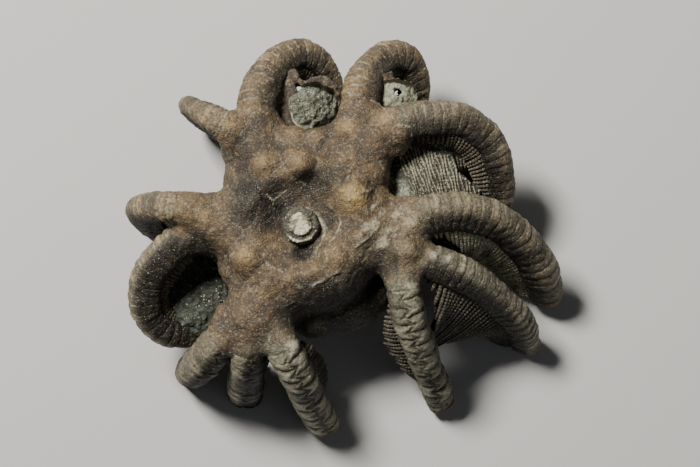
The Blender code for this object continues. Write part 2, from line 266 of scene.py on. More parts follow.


# %% [markdown]
# ## The fossil's skin
#
# The plates are calcite that iron has stained: brown and tan on what stands proud, with painted
# highlights on the crowns of the arms' plates, purple-grey between, nearly black where dirt stays in
# hollows and where shade is painted in hollows, on flanks and underneath, and cream where the matrix
# still sits in a seam or as single grains. The mesh carries the masks as attributes, because only the
# mesh knows its seams and hollows, and the shader breaks their edges up with noise. Where the mask of
# dirt and painted shade is above 1, it turns from soot to a painted black shadow.

# %% Skin material
def skin(name, brown, seams, specks):
    """Stained calcite, with painted shade and painted highlights. Its masks are the attributes seam,
    hollow, proud, tone, olive and broken.
    """
    n = Stone(name)
    broad, middle, fine = n.noise(6.0, 4.0), n.noise(1.6, 4.0), n.noise(0.35, 3.0)
    tone, proud, olive, hollow = (n.attribute(key) for key in ("tone", "proud", "olive", "hollow"))
    colour = n.blend((broad * 0.7 + middle * 0.5).above(0.42, 0.74), PURPLE_GREY, brown)
    colour = n.blend((middle + fine * 0.5 + tone * 0.5).above(0.75, 1.35), colour, TAN)
    # Tan on what stands proud: stain, and on the crowns of the arms' plates a painted highlight
    colour = n.blend((proud * (0.55 + middle * 0.8)).above(0.15, 0.95), colour, TAN)
    colour = n.blend((proud * (broad + tone * 0.6)).above(0.45, 1.0), colour, YELLOW_TAN)
    colour = n.blend((olive * (0.5 + middle)).above(0.15, 1.0), colour, OLIVE)
    # Painted highlight: pale olive glints on the crowns of olive plates
    colour = n.blend((olive * proud * (0.4 + middle)).above(0.12, 0.6) * 0.8, colour, OLIVE_HIGHLIGHT)
    colour = n.blend((n.attribute("broken") * (middle + 0.5)).above(0.3, 0.8), colour, RUST)
    # Dirt and painted shade darken the skin to soot, and the deepest painted shade to black shadow
    dirt_and_shade = hollow + (fine - 0.5) * 0.6 + (middle - 0.5) * 0.4
    colour = n.blend(dirt_and_shade.above(0.15, 0.85) * 0.88, colour, SOOT_AND_SHADE)
    depth = hollow + (fine - 0.5) * 0.7 + (middle - 0.5) * 0.5
    colour = n.blend(depth.above(0.95, 1.4) * 0.9, colour, PAINTED_SHADOW)
    seam = n.attribute("seam") * (middle * 1.6 + fine * 0.6).above(0.75, 1.25)
    colour = n.blend(seam * seams, colour, CREAM)
    dust = n.specks(0.20, 0.42, specks * 1.5) + n.specks(0.36, 0.32, specks)
    colour = n.blend((dust * (0.34 + hollow * 0.12)).above(0.0, 1.0), colour, CREAM)
    colour = n.blend(n.crust(fine) * (1 - hollow * 0.5), colour, CREAM)
    colour = n.blend(n.stains(), colour, UMBER)
    n.shader.inputs["Specular IOR Level"].default_value = 0.33
    return n.finish(colour, 0.60 - proud * 0.18 + (fine - 0.5) * 0.3,
                    n.noise(0.26, 4.0) + middle * 0.6, 0.24)


plate_skin = skin("plate skin", BROWN, 0.85, 0.08)
dirty_shaded_pinnule_skin = skin("pinnule skin", DIRTY_SHADED_PINNULE, 0.6, 0.20)
wall_skin = skin("pinnule wall skin", PALE_PINNULE, 0.9, 0.5)
print("skins:", plate_skin.name, dirty_shaded_pinnule_skin.name, wall_skin.name)


# %% [markdown]
# ## Matrix
#
# The matrix is the mud that the animal sank in, now a pale grey-green stone. In two coils it is
# coarse and full of crystals, and elsewhere it is fine and sandy. Where a lump runs into the flank
# of its coil, the mask named rim gives it the arm's own ribs and browns.

# %% Matrix material
def matrix_stone(name, pale, dark, coarse, specks):
    n = Stone(name)
    broad, fine = n.noise(2.2 * coarse, 4.0), n.noise(0.3 * coarse, 3.0)
    colour = n.blend((broad * 0.5 + fine * 0.8).above(0.52, 0.80), dark, pale)
    # Dirt and painted shade turn the stone to its dark colour
    colour = n.blend(n.attribute("hollow").above(0.2, 0.9), colour, dark)
    colour = n.blend(n.specks(0.4, 0.38, specks) * 0.7, colour, CREAM)
    colour = n.blend((n.attribute("seam") * (0.35 + fine * 1.2)).above(0.45, 0.75), colour, CREAM)
    ribs = n.blend(broad.above(0.35, 0.7), BROWN, TAN)
    ribs = n.blend(n.attribute("tone").above(0.1, 1.1), PURPLE_GREY, ribs)
    ribs = n.blend(n.stains(), ribs, UMBER)
    ribs = n.blend(n.crust(fine), ribs, CREAM)
    colour = n.blend(n.attribute("rim"), colour, ribs)
    return n.finish(colour, 0.8 - fine * 0.2, n.noise(0.22, 4.0), 0.16)


# Each one's pale and dark colour, how coarse it is, and how many specks it has
pale_matrix = matrix_stone("pale matrix", (0.46, 0.46, 0.33), (0.20, 0.21, 0.15), 1.0, 0.35)
# The wall matrix's dark colour also serves as painted shade under the arch of arm 04
wall_matrix = matrix_stone("wall matrix", (0.44, 0.45, 0.34), (0.05, 0.055, 0.042), 1.0, 0.5)
crystal_matrix = matrix_stone("crystal matrix", (0.30, 0.31, 0.225), (0.035, 0.038, 0.028), 0.55, 0.5)
# Dark grey-green stone, darkened further as painted shade for the deep coil and the gap beside arm 06
dark_shaded_matrix = matrix_stone("dark matrix", (0.085, 0.095, 0.070), (0.018, 0.021, 0.016), 0.9, 0.22)
stem_stone = matrix_stone("stem stone", (0.40, 0.37, 0.22), (0.075, 0.07, 0.052), 1.2, 0.12)
print("matrix:", pale_matrix.name, crystal_matrix.name, dark_shaded_matrix.name, stem_stone.name)


# %% [markdown]
# ## From arrays to a piece
#
# Every skin here is worked out as arrays of points in millimetres. One function turns them into a
# mesh in the frame, stores the masks on its points, gives it its stone and puts it on the body.

# %% Piece helpers
MASKS = ("seam", "hollow", "proud", "tone", "olive", "broken", "rim")


def add_object(name, data):
    made = bpy.data.objects.new(name, data)
    bpy.context.collection.objects.link(made)
    return made


def store_masks(mesh, masks):
    """Each mask, an array or one number, as an attribute of the mesh's points."""
    for key, given in masks.items():
        values = np.broadcast_to(given, len(mesh.vertices)).astype(np.float32)
        mesh.attributes.new(key, "FLOAT", "POINT").data.foreach_set("value", values)


def settle(piece, replaced=None):
    """Put a piece on the body and the node that it takes the place of."""
    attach(piece, BODY)
    if replaced:
        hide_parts(replaced)
    return piece


def new_piece(name, points, faces, masks, finish, replaced):
    mesh = bpy.data.meshes.new(name)
    mesh.from_pydata(to_world(points).tolist(), [], faces.tolist())
    store_masks(mesh, {key: masks.get(key, 0.0) for key in MASKS})
    mesh.materials.append(finish)
    mesh.shade_smooth()
    return settle(add_object(name, mesh), replaced)


print("masks:", MASKS)


# %% [markdown]
# ## The arms' courses
#
# Each arm follows a curve through a few given points, from its group's fork down to its
# broken end. Along it go the arm's width and depth, the direction of its side, and the length of
# its fringe of pinnules, the fine branches on its inner face.

# %% Arm courses
# Each arm's centre line from its group's fork to its tip, the direction of its right side at both
# ends, its width and depth at both ends, how far along it leaves the cup, and its fringe: its length
# a quarter along, in the middle and at the tip, its lean to a side in degrees and to the tip
Arm = namedtuple("Arm", "name route side_root side_tip root tip free fringe splay lean")

ARMS = [
    Arm("arm_01", [(-7.9, 13.6, 22.0), (-11.6, 15.5, 23.0), (-14.6, 17.3, 22.3), (-16.9, 18.7, 18.5),
        (-17.9, 19.2, 13.0), (-17.3, 18.7, 7.6), (-15.2, 17.3, 3.2), (-11.8, 15.1, 1.8)],
        (0.55, 0.83, 0.0), (0.5, 0.86, 0.1), (5.2, 5.6), (3.9, 4.0), 5.6, (1.2, 1.3, 0.4), 0, 0.2),
    Arm("arm_02", [(-6.0, 13.3, 21.5), (-7.1, 17.3, 22.0), (-6.5, 21.8, 20.5), (-4.2, 25.9, 18.0),
        (-0.9, 27.7, 15.5), (2.3, 26.4, 13.0), (4.0, 22.9, 11.0), (2.9, 19.2, 9.0),
        (0.3, 17.3, 7.5)],
        (0.65, 0.0, 0.76), (0.3, 0.1, 0.95), (5.4, 6.6), (4.2, 4.4), 5.4, (1.0, 0.8, 0.5), 0, 0.2),
    Arm("arm_03", [(9.7, 15.1, 21.5), (9.5, 19.6, 21.5), (10.6, 23.9, 19.5), (13.4, 27.1, 17.0),
        (16.7, 26.8, 14.5), (18.3, 23.6, 12.5), (18.1, 20.5, 10.5), (16.7, 17.9, 8.5)],
        (0.55, 0.0, 0.83), (0.2, 0.1, 0.97), (5.4, 6.4), (4.4, 4.6), 4.2, (0.4, 0.2, 0.3), 0, 0.1),
    Arm("arm_04", [(12.9, 13.8, 21.8), (16.0, 16.3, 23.0), (20.5, 17.1, 22.5), (25.4, 16.7, 21.0),
        (29.2, 14.1, 18.5), (31.5, 9.5, 15.5), (31.8, 4.6, 12.0), (29.9, 0.7, 8.5)],
        (0.1, -0.35, 0.93), (0.2, 0.1, 0.97), (5.2, 6.2), (4.4, 5.4), 5.6, (1.2, 1.6, 1.2), -25, 0.5),
    Arm("arm_05", [(14.9, 0.0, 21.5), (19.7, 1.4, 22.8), (25.3, 2.1, 22.0), (31.1, 0.7, 19.5),
        (35.8, -3.0, 15.0), (38.8, -7.3, 9.5), (40.4, -11.3, 2.9)],
        (-0.1, -0.55, 0.82), (-0.45, -0.45, 0.77), (5.6, 6.8), (5.0, 6.2), 5.6,
        (4.2, 6.3, 3.2), 0, 0.5),
    Arm("arm_06", [(16.1, -4.1, 21.2), (21.5, -6.1, 21.5), (26.5, -8.2, 20.0), (31.4, -11.8, 16.0),
        (35.4, -15.9, 10.0), (37.2, -19.7, 1.3)],
        (-0.3, -0.5, 0.8), (-0.5, -0.45, 0.74), (5.0, 6.0), (4.2, 5.2), 5.2,
        (9.0, 12.0, 2.4), 18, 0.2),
    Arm("arm_07", [(15.1, -4.8, 21.2), (16.0, -9.2, 22.6), (17.2, -14.3, 20.6), (18.9, -19.4, 16.0),
        (21.1, -24.5, 9.6), (23.0, -29.1, 1.6)],
        (-1.0, 0.1, 0.0), (-0.95, -0.3, 0.0), (5.4, 5.4), (4.2, 4.4), 6.0, (2.2, 4.6, 1.2), 54, 0.3),
    Arm("arm_08", [(-5.4, -14.7, 21.5), (-3.0, -19.2, 22.4), (-0.8, -23.8, 18.6), (1.3, -28.6, 10.8),
        (3.2, -32.8, 1.4)],
        (-0.9, -0.4, 0.0), (-0.88, -0.45, 0.0), (5.6, 5.6), (5.0, 5.0), 4.6,
        (2.6, 4.2, 0.8), -44, 0.4),
    Arm("arm_09", [(-8.0, -14.4, 21.2), (-8.4, -18.9, 21.4), (-9.0, -22.6, 17.0), (-9.4, -25.4, 10.0),
        (-9.9, -27.8, -0.8)],
        (-0.96, 0.1, 0.25), (-0.96, 0.1, 0.25), (5.6, 6.0), (5.7, 5.6), 6.8,
        (1.8, 5.0, 1.5), -32, 0.4),
    Arm("arm_10", [(-9.9, -14.7, 21.2), (-13.5, -18.8, 20.6), (-15.7, -21.7, 15.5),
        (-17.7, -23.4, 8.5), (-18.8, -24.3, -0.6)],
        (-0.8, 0.35, 0.5), (-0.8, 0.35, 0.5), (5.6, 6.2), (5.6, 5.8), 6.4, (1.2, 2.6, 1.2), 0, 0.4),
    Arm("arm_11", [(-14.4, -0.3, 21.0), (-18.6, -2.2, 21.0), (-22.3, -5.1, 20.5), (-25.0, -9.2, 18.5),
        (-25.1, -13.6, 16.0), (-22.6, -16.8, 13.5), (-19.0, -17.4, 11.0),
        (-16.0, -15.5, 9.0), (-15.1, -12.7, 7.5)],
        (-0.45, 0.15, -0.88), (-0.1, 0.0, -0.99), (5.0, 6.0), (3.8, 4.4), 5.2,
        (1.2, 1.0, 0.3), 0, 0.2),
    Arm("arm_12", [(-13.9, 1.6, 22.0), (-18.4, 2.7, 23.2), (-22.3, 3.2, 22.5), (-25.2, 3.1, 18.5),
        (-26.3, 2.3, 13.0), (-25.8, 1.0, 7.6), (-23.7, -0.6, 3.2), (-20.2, -1.9, 1.8)],
        (0.1, 0.99, 0.0), (0.4, 0.9, 0.1), (5.0, 5.6), (4.4, 4.2), 5.2, (1.2, 1.3, 0.4), 0, 0.2),
]
TAPER_POWER = 1.4
FRINGE_SHARES = (0.17, 0.27, 0.5, 1.0)
ROOT_FRINGE = 0.6
FULL_LEAN = 3.0  # a fringe of this length or more leans and bows fully

# How each arm's plates look: their pitch, how much it grows along the arm, how far left and right
# plates are in step, how swollen they are, how much cream is in their seams, how worn and how olive
# the arm is, how many millimetres of it are under the web that joins it to the cup, how dark the
# painted shade on its flanks is from one angle to another, and how far round the lit part between
# them is turned
Plates = namedtuple("Plates", "pitch growth zigzag swell cream wear olive web flank turn")
PLATES = {
    "arm_01": Plates(1.10, 0.3, 0.0, 0.02, 0.7, 0.6, 0.30, 8.0, (0.60, 45, 95), 0),
    "arm_02": Plates(1.25, 0.1, 0.0, 0.02, 1.0, 0.4, 0.20, 8.5, (0.80, 50, 100), 0),
    "arm_03": Plates(1.25, 0.1, 0.0, 0.02, 1.0, 0.4, 0.20, 7.0, (0.80, 50, 100), 0),
    "arm_04": Plates(1.22, 0.3, 0.0, 0.06, 0.6, 0.4, 0.45, 7.0, (0.95, 50, 110), 0),
    "arm_05": Plates(1.22, 0.6, 0.0, 0.07, 0.5, 0.4, 0.50, 8.5, (1.30, 45, 100), 0),
    "arm_06": Plates(1.15, 0.5, 0.0, 0.07, 0.5, 0.4, 0.75, 7.0, (1.40, 35, 80), 0),
    "arm_07": Plates(2.10, 0.9, 0.5, 0.24, 0.9, 0.3, 0.80, 7.5, (0.45, 55, 95), -20),
    "arm_08": Plates(2.00, 1.1, 0.5, 0.22, 0.9, 0.3, 0.85, 7.5, (0.25, 60, 100), -10),
    "arm_09": Plates(1.85, 0.9, 0.3, 0.16, 0.9, 0.3, 0.70, 8.0, (1.50, 45, 80), 75),
    "arm_10": Plates(1.75, 0.7, 0.3, 0.14, 0.9, 0.3, 0.60, 7.5, (1.50, 45, 85), 80),
    "arm_11": Plates(1.40, 0.2, 0.0, 0.08, 0.8, 0.3, 0.45, 8.5, (1.35, 40, 85), 20),
    "arm_12": Plates(1.15, 0.3, 0.0, 0.03, 0.7, 0.6, 0.35, 10.0, (0.80, 45, 90), 10),
}
# Where two hooks are slimmer than their ends: middle, reach and amount
SLIM = {"arm_01": (15.0, 6.5, 0.34), "arm_12": (18.0, 6.5, 0.32)}
print("plates of", len(PLATES), "arms, with webs of", [look.web for look in PLATES.values()], "mm")


# %% [markdown]
# ## Following a course
#
# A few points are enough for an arm's bend when a smooth curve runs through them. At any distance
# along it, the curve gives a place and a direction. The arm's side is blended from its root's to its
# tip's and kept square to that direction, and its back is square to both.

# %% Course helpers
def unit(vectors):
    return vectors / np.linalg.norm(vectors, axis=-1, keepdims=True)


def smooth_route(points, steps=24):
    """A curve through the points, and the length along it at each step."""
    ends = [2 * np.array(points[0]) - points[1], 2 * np.array(points[-1]) - points[-2]]
    p = np.vstack([ends[0], points, ends[1]])
    curve = []
    for i in range(1, len(p) - 2):
        for t in np.arange(steps) / steps:
            curve.append(0.5 * (2 * p[i] + (p[i + 1] - p[i - 1]) * t
                                + (2 * p[i - 1] - 5 * p[i] + 4 * p[i + 1] - p[i + 2]) * t**2
                                + (3 * p[i] - p[i - 1] - 3 * p[i + 1] + p[i + 2]) * t**3))
    curve.append(p[-2])
    curve = np.array(curve)
    lengths = np.concatenate([[0], np.cumsum(np.linalg.norm(np.diff(curve, axis=0), axis=1))])
    return curve, lengths


Course = namedtuple("Course", "share centre forward side back width depth")


def course(arm, stations):
    """Where the arm is at each distance along it, which way it faces, and how thick it is."""
    curve, lengths = smooth_route(arm.route)
    along = np.gradient(curve, lengths, axis=0)
    share = stations / lengths[-1]
    centre = np.stack([np.interp(stations, lengths, curve[:, k]) for k in range(3)], axis=-1)
    forward = unit(np.stack([np.interp(stations, lengths, along[:, k]) for k in range(3)], axis=-1))
    side = (1 - share)[:, None] * np.array(arm.side_root) + share[:, None] * np.array(arm.side_tip)
    side = unit(side - forward * (forward * side).sum(axis=-1, keepdims=True))
    taper = np.clip(share, 0, 1)**TAPER_POWER
    width = arm.root[0] + (arm.tip[0] - arm.root[0]) * taper
    if arm.name in SLIM:
        middle, reach, amount = SLIM[arm.name]
        width = width * (1 - amount * np.exp(-((stations - middle) / reach)**2))
    depth = arm.root[1] + (arm.tip[1] - arm.root[1]) * taper
    return Course(share, centre, forward, side, np.cross(side, forward), width, depth)


LENGTHS = {arm.name: smooth_route(arm.route)[1][-1] for arm in ARMS}
print("arm lengths in mm:", {name: round(float(length), 1) for name, length in LENGTHS.items()})


# %% [markdown]
# ## Plates
#
# An arm is a row of plates, like coins on a string, which get longer towards its tip. Where they are
# wedges, left and right ones alternate and meet in a zigzag. The relief is worked out in the arm's
# own coordinates: how far along it, and how far round it, with 0 in the middle of its back.

# %% Plate relief
GROOVE_DEPTH = 0.11
GROOVE_WIDTH = 0.11
CREAM_WIDTH = 0.10
ZIGZAG_REACH = 0.26
# The mask of dirt and painted shade goes up to this, the painted black shadow
DEEPEST_SHADE = 1.5  # the most that a hollow can be: pitch


def plate_relief(arm, along, angle, width):
    """The height over the smooth arm and the masks, at each place along and round the arm."""
    look = PLATES[arm.name]
    seed = int(arm.name[-2:]) * 31
    flat = np.stack([along, angle * 2.0, np.full_like(along, seed)], axis=-1)
    wander = lattice(flat, 2.4, seed) * 0.22 * (1 - 0.4 * look.zigzag)
    wander = wander + lattice(flat, 0.8, seed + 3) * 0.07
    rate = look.growth / LENGTHS[arm.name]
    steps = np.log(1 + rate * np.maximum(along + wander, -1)) / (rate * look.pitch)
    steps = steps + look.zigzag * 0.18 * np.abs(angle)
    wedge = np.abs(angle) < math.radians(115)
    swing = 2 * np.abs(np.mod(steps, 1) - 0.5) - 0.5
    middle = ZIGZAG_REACH * swing * 2
    right = angle > middle
    steps = steps + np.where(right, look.zigzag, 0.0)
    cell = np.floor(steps)
    part = steps - cell
    apart = np.minimum(part, 1 - part) * look.pitch * (1 + rate * np.maximum(along, 0))
    if look.zigzag:
        apart = np.where(wedge, np.minimum(apart, np.abs(angle - middle) * width / 2), apart)
    number = np.stack([cell + 500, right * look.zigzag * 2, np.full_like(cell, seed)], axis=-1)
    chance = hashed(number, seed)
    outer = 1 - ease(np.abs(angle), math.radians(100), math.radians(140))
    worn = 1 - look.wear * ease(grain(flat, 3.0, seed + 7), -0.1, 0.7)
    groove = np.exp(-(apart / (GROOVE_WIDTH * (1 + 0.5 * look.zigzag)))**2) * (1 + 0.4 * look.zigzag)
    crown = 1 - np.exp(-(apart / 0.5)**2)
    height = (look.swell * crown * worn + (chance - 0.5) * 0.14 * (1 - np.exp(-(apart / 0.3)**2))
              - GROOVE_DEPTH * groove * (0.45 + 0.55 * worn)) * (0.3 + 0.7 * outer)
    # Painted shade on the flank turned away from the lamp, and below, on the arm's inner face
    strength, start, end = look.flank
    dark = ease(np.abs(angle - math.radians(look.turn)), math.radians(start), math.radians(end))
    patchy = 0.45 + 0.55 * ease(grain(flat, 2.0, seed + 11, 2), -0.5, 0.4)
    cream = np.exp(-(apart / CREAM_WIDTH)**2) * look.cream * outer * (1 - 0.85 * dark) * patchy
    # Seams darken as dark joints, and the inner face and the shaded flank get painted shade
    masks = {"seam": cream, "olive": np.full_like(chance, look.olive),
             "hollow": np.clip(0.85 * groove * (1 - look.cream * 0.4) + 0.8 * (1 - outer)
                               + strength * dark, 0, DEEPEST_SHADE),
             # Painted highlight: glints on the plate crowns, only on the arm's back, which is turned
             # up to the lamp
             "proud": crown * (0.15 + 0.95 * chance) * ease(np.cos(angle), 0.25, 0.95),
             "tone": chance}
    return height, masks


print("a seam is", GROOVE_DEPTH, "mm deep")


# %% [markdown]
# ## Marks of the whole crown
#
# Grain, knobs and cream lines run over the cup and the arms alike, so both use the same functions
# and meet without a jump. The knobs and lines have their places from the photo.

# %% Places of the marks
# Middle, reach, rise and how yellow each knob is
KNOBS = [
    ((-0.1, 10.1), 2.0, 0.65, 0.9), ((8.2, 4.7), 2.7, 0.70, 1.2), ((7.3, 15.6), 1.9, 0.50, 1.1),
    ((-6.2, 10.1), 1.8, 0.45, 0.9), ((-11.3, 16.0), 1.6, 0.40, 0.9), ((-1.5, 14.3), 1.6, 0.35, 0.7),
    ((1.8, 13.9), 1.5, 0.35, 0.7), ((16.9, -3.8), 1.7, 0.60, 0.9), ((-8.6, -4.6), 2.2, 0.30, 0.9),
    ((2.3, -7.2), 1.6, 0.40, 0.7), ((5.8, -4.8), 1.7, 0.40, 0.6), ((-1.9, -8.1), 1.5, 0.40, 0.9),
    ((-15.4, 1.3), 1.6, 0.30, 0.9), ((16.0, 14.6), 1.4, 0.45, 0.6), ((13.3, 17.2), 2.2, 0.20, 1.0),
    ((17.3, 0.6), 1.7, 0.35, 1.1), ((11.8, 0.6), 2.4, 0.45, 0.6), ((10.4, 9.0), 2.0, 0.35, 0.5),
    ((21.0, -4.9), 0.7, 0.60, 0.9), ((23.6, -5.2), 0.7, 0.60, 0.9), ((-10.6, 7.4), 2.2, 0.30, 0.3),
    ((6.6, -9.2), 1.6, 0.35, 0.5), ((-6.0, -10.6), 2.0, 0.30, 0.5), ((-13.6, -1.6), 1.8, 0.25, 0.4),
]
# Width, strength, rise and places of each cream line
LINES = [
    (0.09, 0.9, 0.0, [(-6.4, 6.9), (-3.9, 8.8), (-1.8, 10.5)]),
    (0.09, 1.0, 0.0, [(-5.5, 5.1), (-4.4, 4.0), (-2.9, 5.1), (-1.3, 6.2), (0.7, 5.8)]),
    (0.08, 0.8, 0.0, [(-4.4, 3.7), (-4.4, 2.2)]),
    (0.3, 1.0, 0.25, [(0.9, 2.9), (2.3, 2.2), (3.1, 1.1), (3.8, -0.9), (3.1, -2.7), (2.3, -4.1)]),
    (0.09, 0.9, 0.1, [(6.0, 1.7), (6.3, 0.5), (5.4, -1.7), (4.6, -2.7)]),
    (0.1, 0.9, 0.0, [(-6.1, -4.1), (-5.2, -6.1), (-2.8, -7.3)]),
    (0.12, 1.0, 0.15, [(7.5, 4.1), (9.2, 5.3), (11.2, 5.7)]),
    (0.08, 0.7, 0.0, [(7.6, 8.8), (9.0, 10.0), (10.4, 11.0), (12.2, 11.1)]),
    (0.17, 0.75, 0.2, [(8.2, -3.7), (9.5, -2.7), (10.7, -1.7), (12.4, 0.2)]),
    (0.14, 0.7, 0.2, [(13.3, -3.2), (14.3, -1.5), (15.3, -0.3)]),
    (0.17, 0.75, 0.3, [(1.8, -9.5), (3.9, -8.3), (5.8, -7.3)]),
    (0.12, 1.0, 0.1, [(-1.8, 17.0), (-0.4, 16.1), (0.9, 15.8), (2.3, 16.2), (3.9, 17.4)]),
    (0.09, 0.8, 0.0, [(7.5, 21.2), (10.4, 20.2), (12.8, 19.3), (13.8, 17.5), (14.6, 17.0)]),
    (0.08, 0.7, 0.0, [(3.9, -2.7), (4.1, -5.4)]),
    (0.08, 0.7, 0.0, [(-0.5, -7.2), (-0.4, -9.8)]),
    (0.08, 0.6, 0.0, [(-12.0, -7.8), (-11.5, -5.1), (-9.8, -3.2), (-7.9, -3.0)]),
    (0.1, 0.7, 0.0, [(-3.4, -12.9), (-1.0, -11.9)]),
    (0.08, 0.6, 0.0, [(-0.8, 11.9), (0.9, 13.6), (2.3, 15.3)]),
    (0.09, 0.8, 0.15, [(14.6, 15.6), (15.1, 15.9), (17.4, 15.8), (17.6, 13.7), (16.3, 13.1),
                       (14.6, 13.7), (14.6, 15.6)]),
    (0.08, 0.5, 0.0, [(10.0, 11.6), (13.1, 11.9)]),
    (0.55, 0.75, 0.1, [(8.8, -1.9), (11.2, 0.4), (12.8, 2.4)]),
    (0.5, 0.75, 0.1, [(12.4, -3.0), (13.8, -0.8)]),
    (0.45, 0.6, 0.1, [(10.0, 2.2), (12.0, 3.6)]),
    (0.6, 0.6, 0.1, [(14.6, 1.6), (17.4, 2.2)]),
]
# The marks are on the side that faces the camera: they fade in between these heights
TOP_SIDE = (15.0, 19.0)
print("marks:", len(KNOBS), "knobs and", len(LINES), "lines")


# %% Mark helpers
def rough_stone(points):
    return (grain(points, 5.5, 77, 1) * 0.22 + grain(points, 3.0, 75, 1) * 0.14
            + grain(points, 1.1, 71) * 0.11 + grain(points, 0.36, 81, 1) * 0.06)


def knobs(points):
    """How yellow and how high the knobs make each point."""
    yellow, height = np.zeros(points.shape[:-1]), np.zeros(points.shape[:-1])
    high = ease(points[..., 2], *TOP_SIDE)
    uneven = 1 + 0.18 * lattice(points, 1.4, 67)
    for (x, y), reach, rise, strength in KNOBS:
        far = np.hypot(points[..., 0] - x, points[..., 1] - y) * uneven
        dome = np.exp(-(far / reach)**2) * high
        height += rise * dome
        yellow = np.maximum(yellow, strength * dome)
    return yellow, height


def cream_lines(points):
    """How much cream the drawn lines put on each point, and how high they raise it."""
    cream, height = np.zeros(points.shape[:-1]), np.zeros(points.shape[:-1])
    high = ease(points[..., 2], *TOP_SIDE)
    sway = np.stack([lattice(points, 0.9, 83), lattice(points, 0.9, 85)], axis=-1)
    flat = points[..., :2] + sway * 0.12
    patchy = np.clip(0.75 + 0.9 * grain(points, 1.6, 87, 2), 0.3, 1.5)
    for width, strength, rise, places in LINES:
        far = np.full(points.shape[:-1], np.inf)
        for start, end in zip(np.array(places), np.array(places[1:])):
            step = end - start
            t = np.clip(((flat - start) @ step) / (step @ step), 0, 1)
            far = np.minimum(far, np.linalg.norm(flat - start - t[..., None] * step, axis=-1))
        reach = width * patchy
        cream = np.maximum(cream, strength * np.exp(-(far / reach)**2) * high)
        height += rise * np.exp(-(far / (1.8 * reach))**2) * high
    return cream, height


def mark(points, masks, height):
    """Add grain, knobs, lines, dirt and painted shade to a skin, and give its full height."""
    rough = rough_stone(points)
    yellow, domes = knobs(points)
    cream, ridges = cream_lines(points)
    # Painted shade: darker towards the floor. Dips in the grain hold dirt
    low = 0.25 * (1 - ease(points[..., 2], 2.0, 14.0))
    dirt_and_shade = ease(-rough, 0.05, 0.20) * 0.35 + low
    masks["seam"] = np.maximum(masks["seam"], cream)
    masks["proud"] = np.maximum(masks["proud"], yellow)
    masks["hollow"] = np.clip(masks["hollow"] * (1 - 0.7 * yellow) + dirt_and_shade, 0, DEEPEST_SHADE)
    return height + rough + domes + ridges


print("roughest grain at the stem's axis:", rough_stone(np.zeros((1, 3))).round(3))


# %% [markdown]
# ## Sweeping the arms
#
# Rings of points follow the arm's course closely enough to carry its seams. The first rings start
# inside the web that the cup's skin has for each arm, and grow out of it without a step.
# The last rings close over the broken end, which is rough and shows rusty stone.

# %% Arms
RING_POINTS = 84
RING_STEP = 0.115
CAP_RINGS = 9
TIP_SHARE = 0.004  # the last ring's size
START_SHARE = 0.6
BROKEN_EDGE = 0.9
ARM_SQUARENESS = 2.5
FLOOR_GAP = 0.02


def grid_faces(rows, columns):
    """Quads between rings of points."""
    r, c = np.meshgrid(np.arange(rows - 1), np.arange(columns), indexing="ij")
    a, b = r * columns + c, r * columns + (c + 1) % columns
    return np.stack([a, b, b + columns, a + columns], axis=-1).reshape(-1, 4)


def squarish(angle, power):
    """How far out an outline between a circle and a square is, at each angle."""
    return (np.abs(np.sin(angle))**power + np.abs(np.cos(angle))**power)**(-1 / power)


def ring_offsets(path, angle, outline=1, belly=1):
    """From the course to the arm's skin, at each angle round it."""
    out_side = np.sin(angle) * outline * path.width[:, None] / 2
    out_back = np.cos(angle) * outline * belly * path.depth[:, None] / 2
    return path.side[:, None, :] * out_side[..., None] + path.back[:, None, :] * out_back[..., None]


def end_cap(ring, centre, outward):
    """Shrinking rings that close over an arm's end, rough as broken stone."""
    made = []
    for k in range(1, CAP_RINGS + 1):
        shrink = 1 - (k / CAP_RINGS)**1.2
        flat = centre + (ring - centre) * max(shrink, TIP_SHARE)
        bumps = grain(flat, 1.1, 41) * 0.35 + 0.25 * (1 - shrink)
        made.append(flat + outward * (bumps * ease(1 - shrink, 0, 0.3))[..., None])
    return np.array(made)


def over_caps(mask, share):
    """A mask, and its ends carried over both caps at a share of their strength."""
    first, last = (np.tile(mask[end] * share, (CAP_RINGS, 1)) for end in (0, -1))
    return np.concatenate([first, mask, last]).ravel()


def close_ends(piece):
    """Fill the tiny last rings, and turn every face outwards."""
    bm = bmesh.new()
    bm.from_mesh(piece.data)
    bmesh.ops.holes_fill(bm, edges=[e for e in bm.edges if e.is_boundary], sides=0)
    bmesh.ops.recalc_face_normals(bm, faces=bm.faces)
    bm.to_mesh(piece.data)
    bm.free()
    piece.data.shade_smooth()
    return piece


def sweep_arm(arm):
    start, length = PLATES[arm.name].web * START_SHARE, LENGTHS[arm.name]
    stations = np.linspace(start, length, int((length - start) / RING_STEP))
    path = course(arm, stations)
    angle = np.linspace(-math.pi, math.pi, RING_POINTS, endpoint=False)
    along, turn = np.meshgrid(stations, angle, indexing="ij")
    height, masks = plate_relief(arm, along, turn, path.width[:, None])
    belly = 1 - 0.16 * ease(-np.cos(turn), 0.3, 1.0)
    emerge = 0.88 + 0.12 * ease(along - start, 0.0, 1.0)
    offset = ring_offsets(path, turn, squarish(angle, ARM_SQUARENESS)[None, :], belly)
    offset = offset * emerge[..., None]
    points = path.centre[:, None, :] + offset
    height = mark(points, masks, height)
    points = points + unit(offset) * height[..., None]
    first = end_cap(points[0], path.centre[0], -path.forward[0])[::-1]
    last = end_cap(points[-1], path.centre[-1], path.forward[-1])
    points = np.concatenate([first, points, last]).reshape(-1, 3)
    points[:, 2] = np.maximum(points[:, 2], FLOOR_GAP)
    masks = {key: over_caps(mask, 0.3) for key, mask in masks.items()}
    rusty = BROKEN_EDGE * ease(along, length - 1.6, length - 0.3)
    masks["broken"] = over_caps(rusty, 1 / BROKEN_EDGE)
    faces = grid_faces(len(points) // RING_POINTS, RING_POINTS)
    return close_ends(new_piece("plates_" + arm.name, points, faces, masks, plate_skin,
                                arm.name))


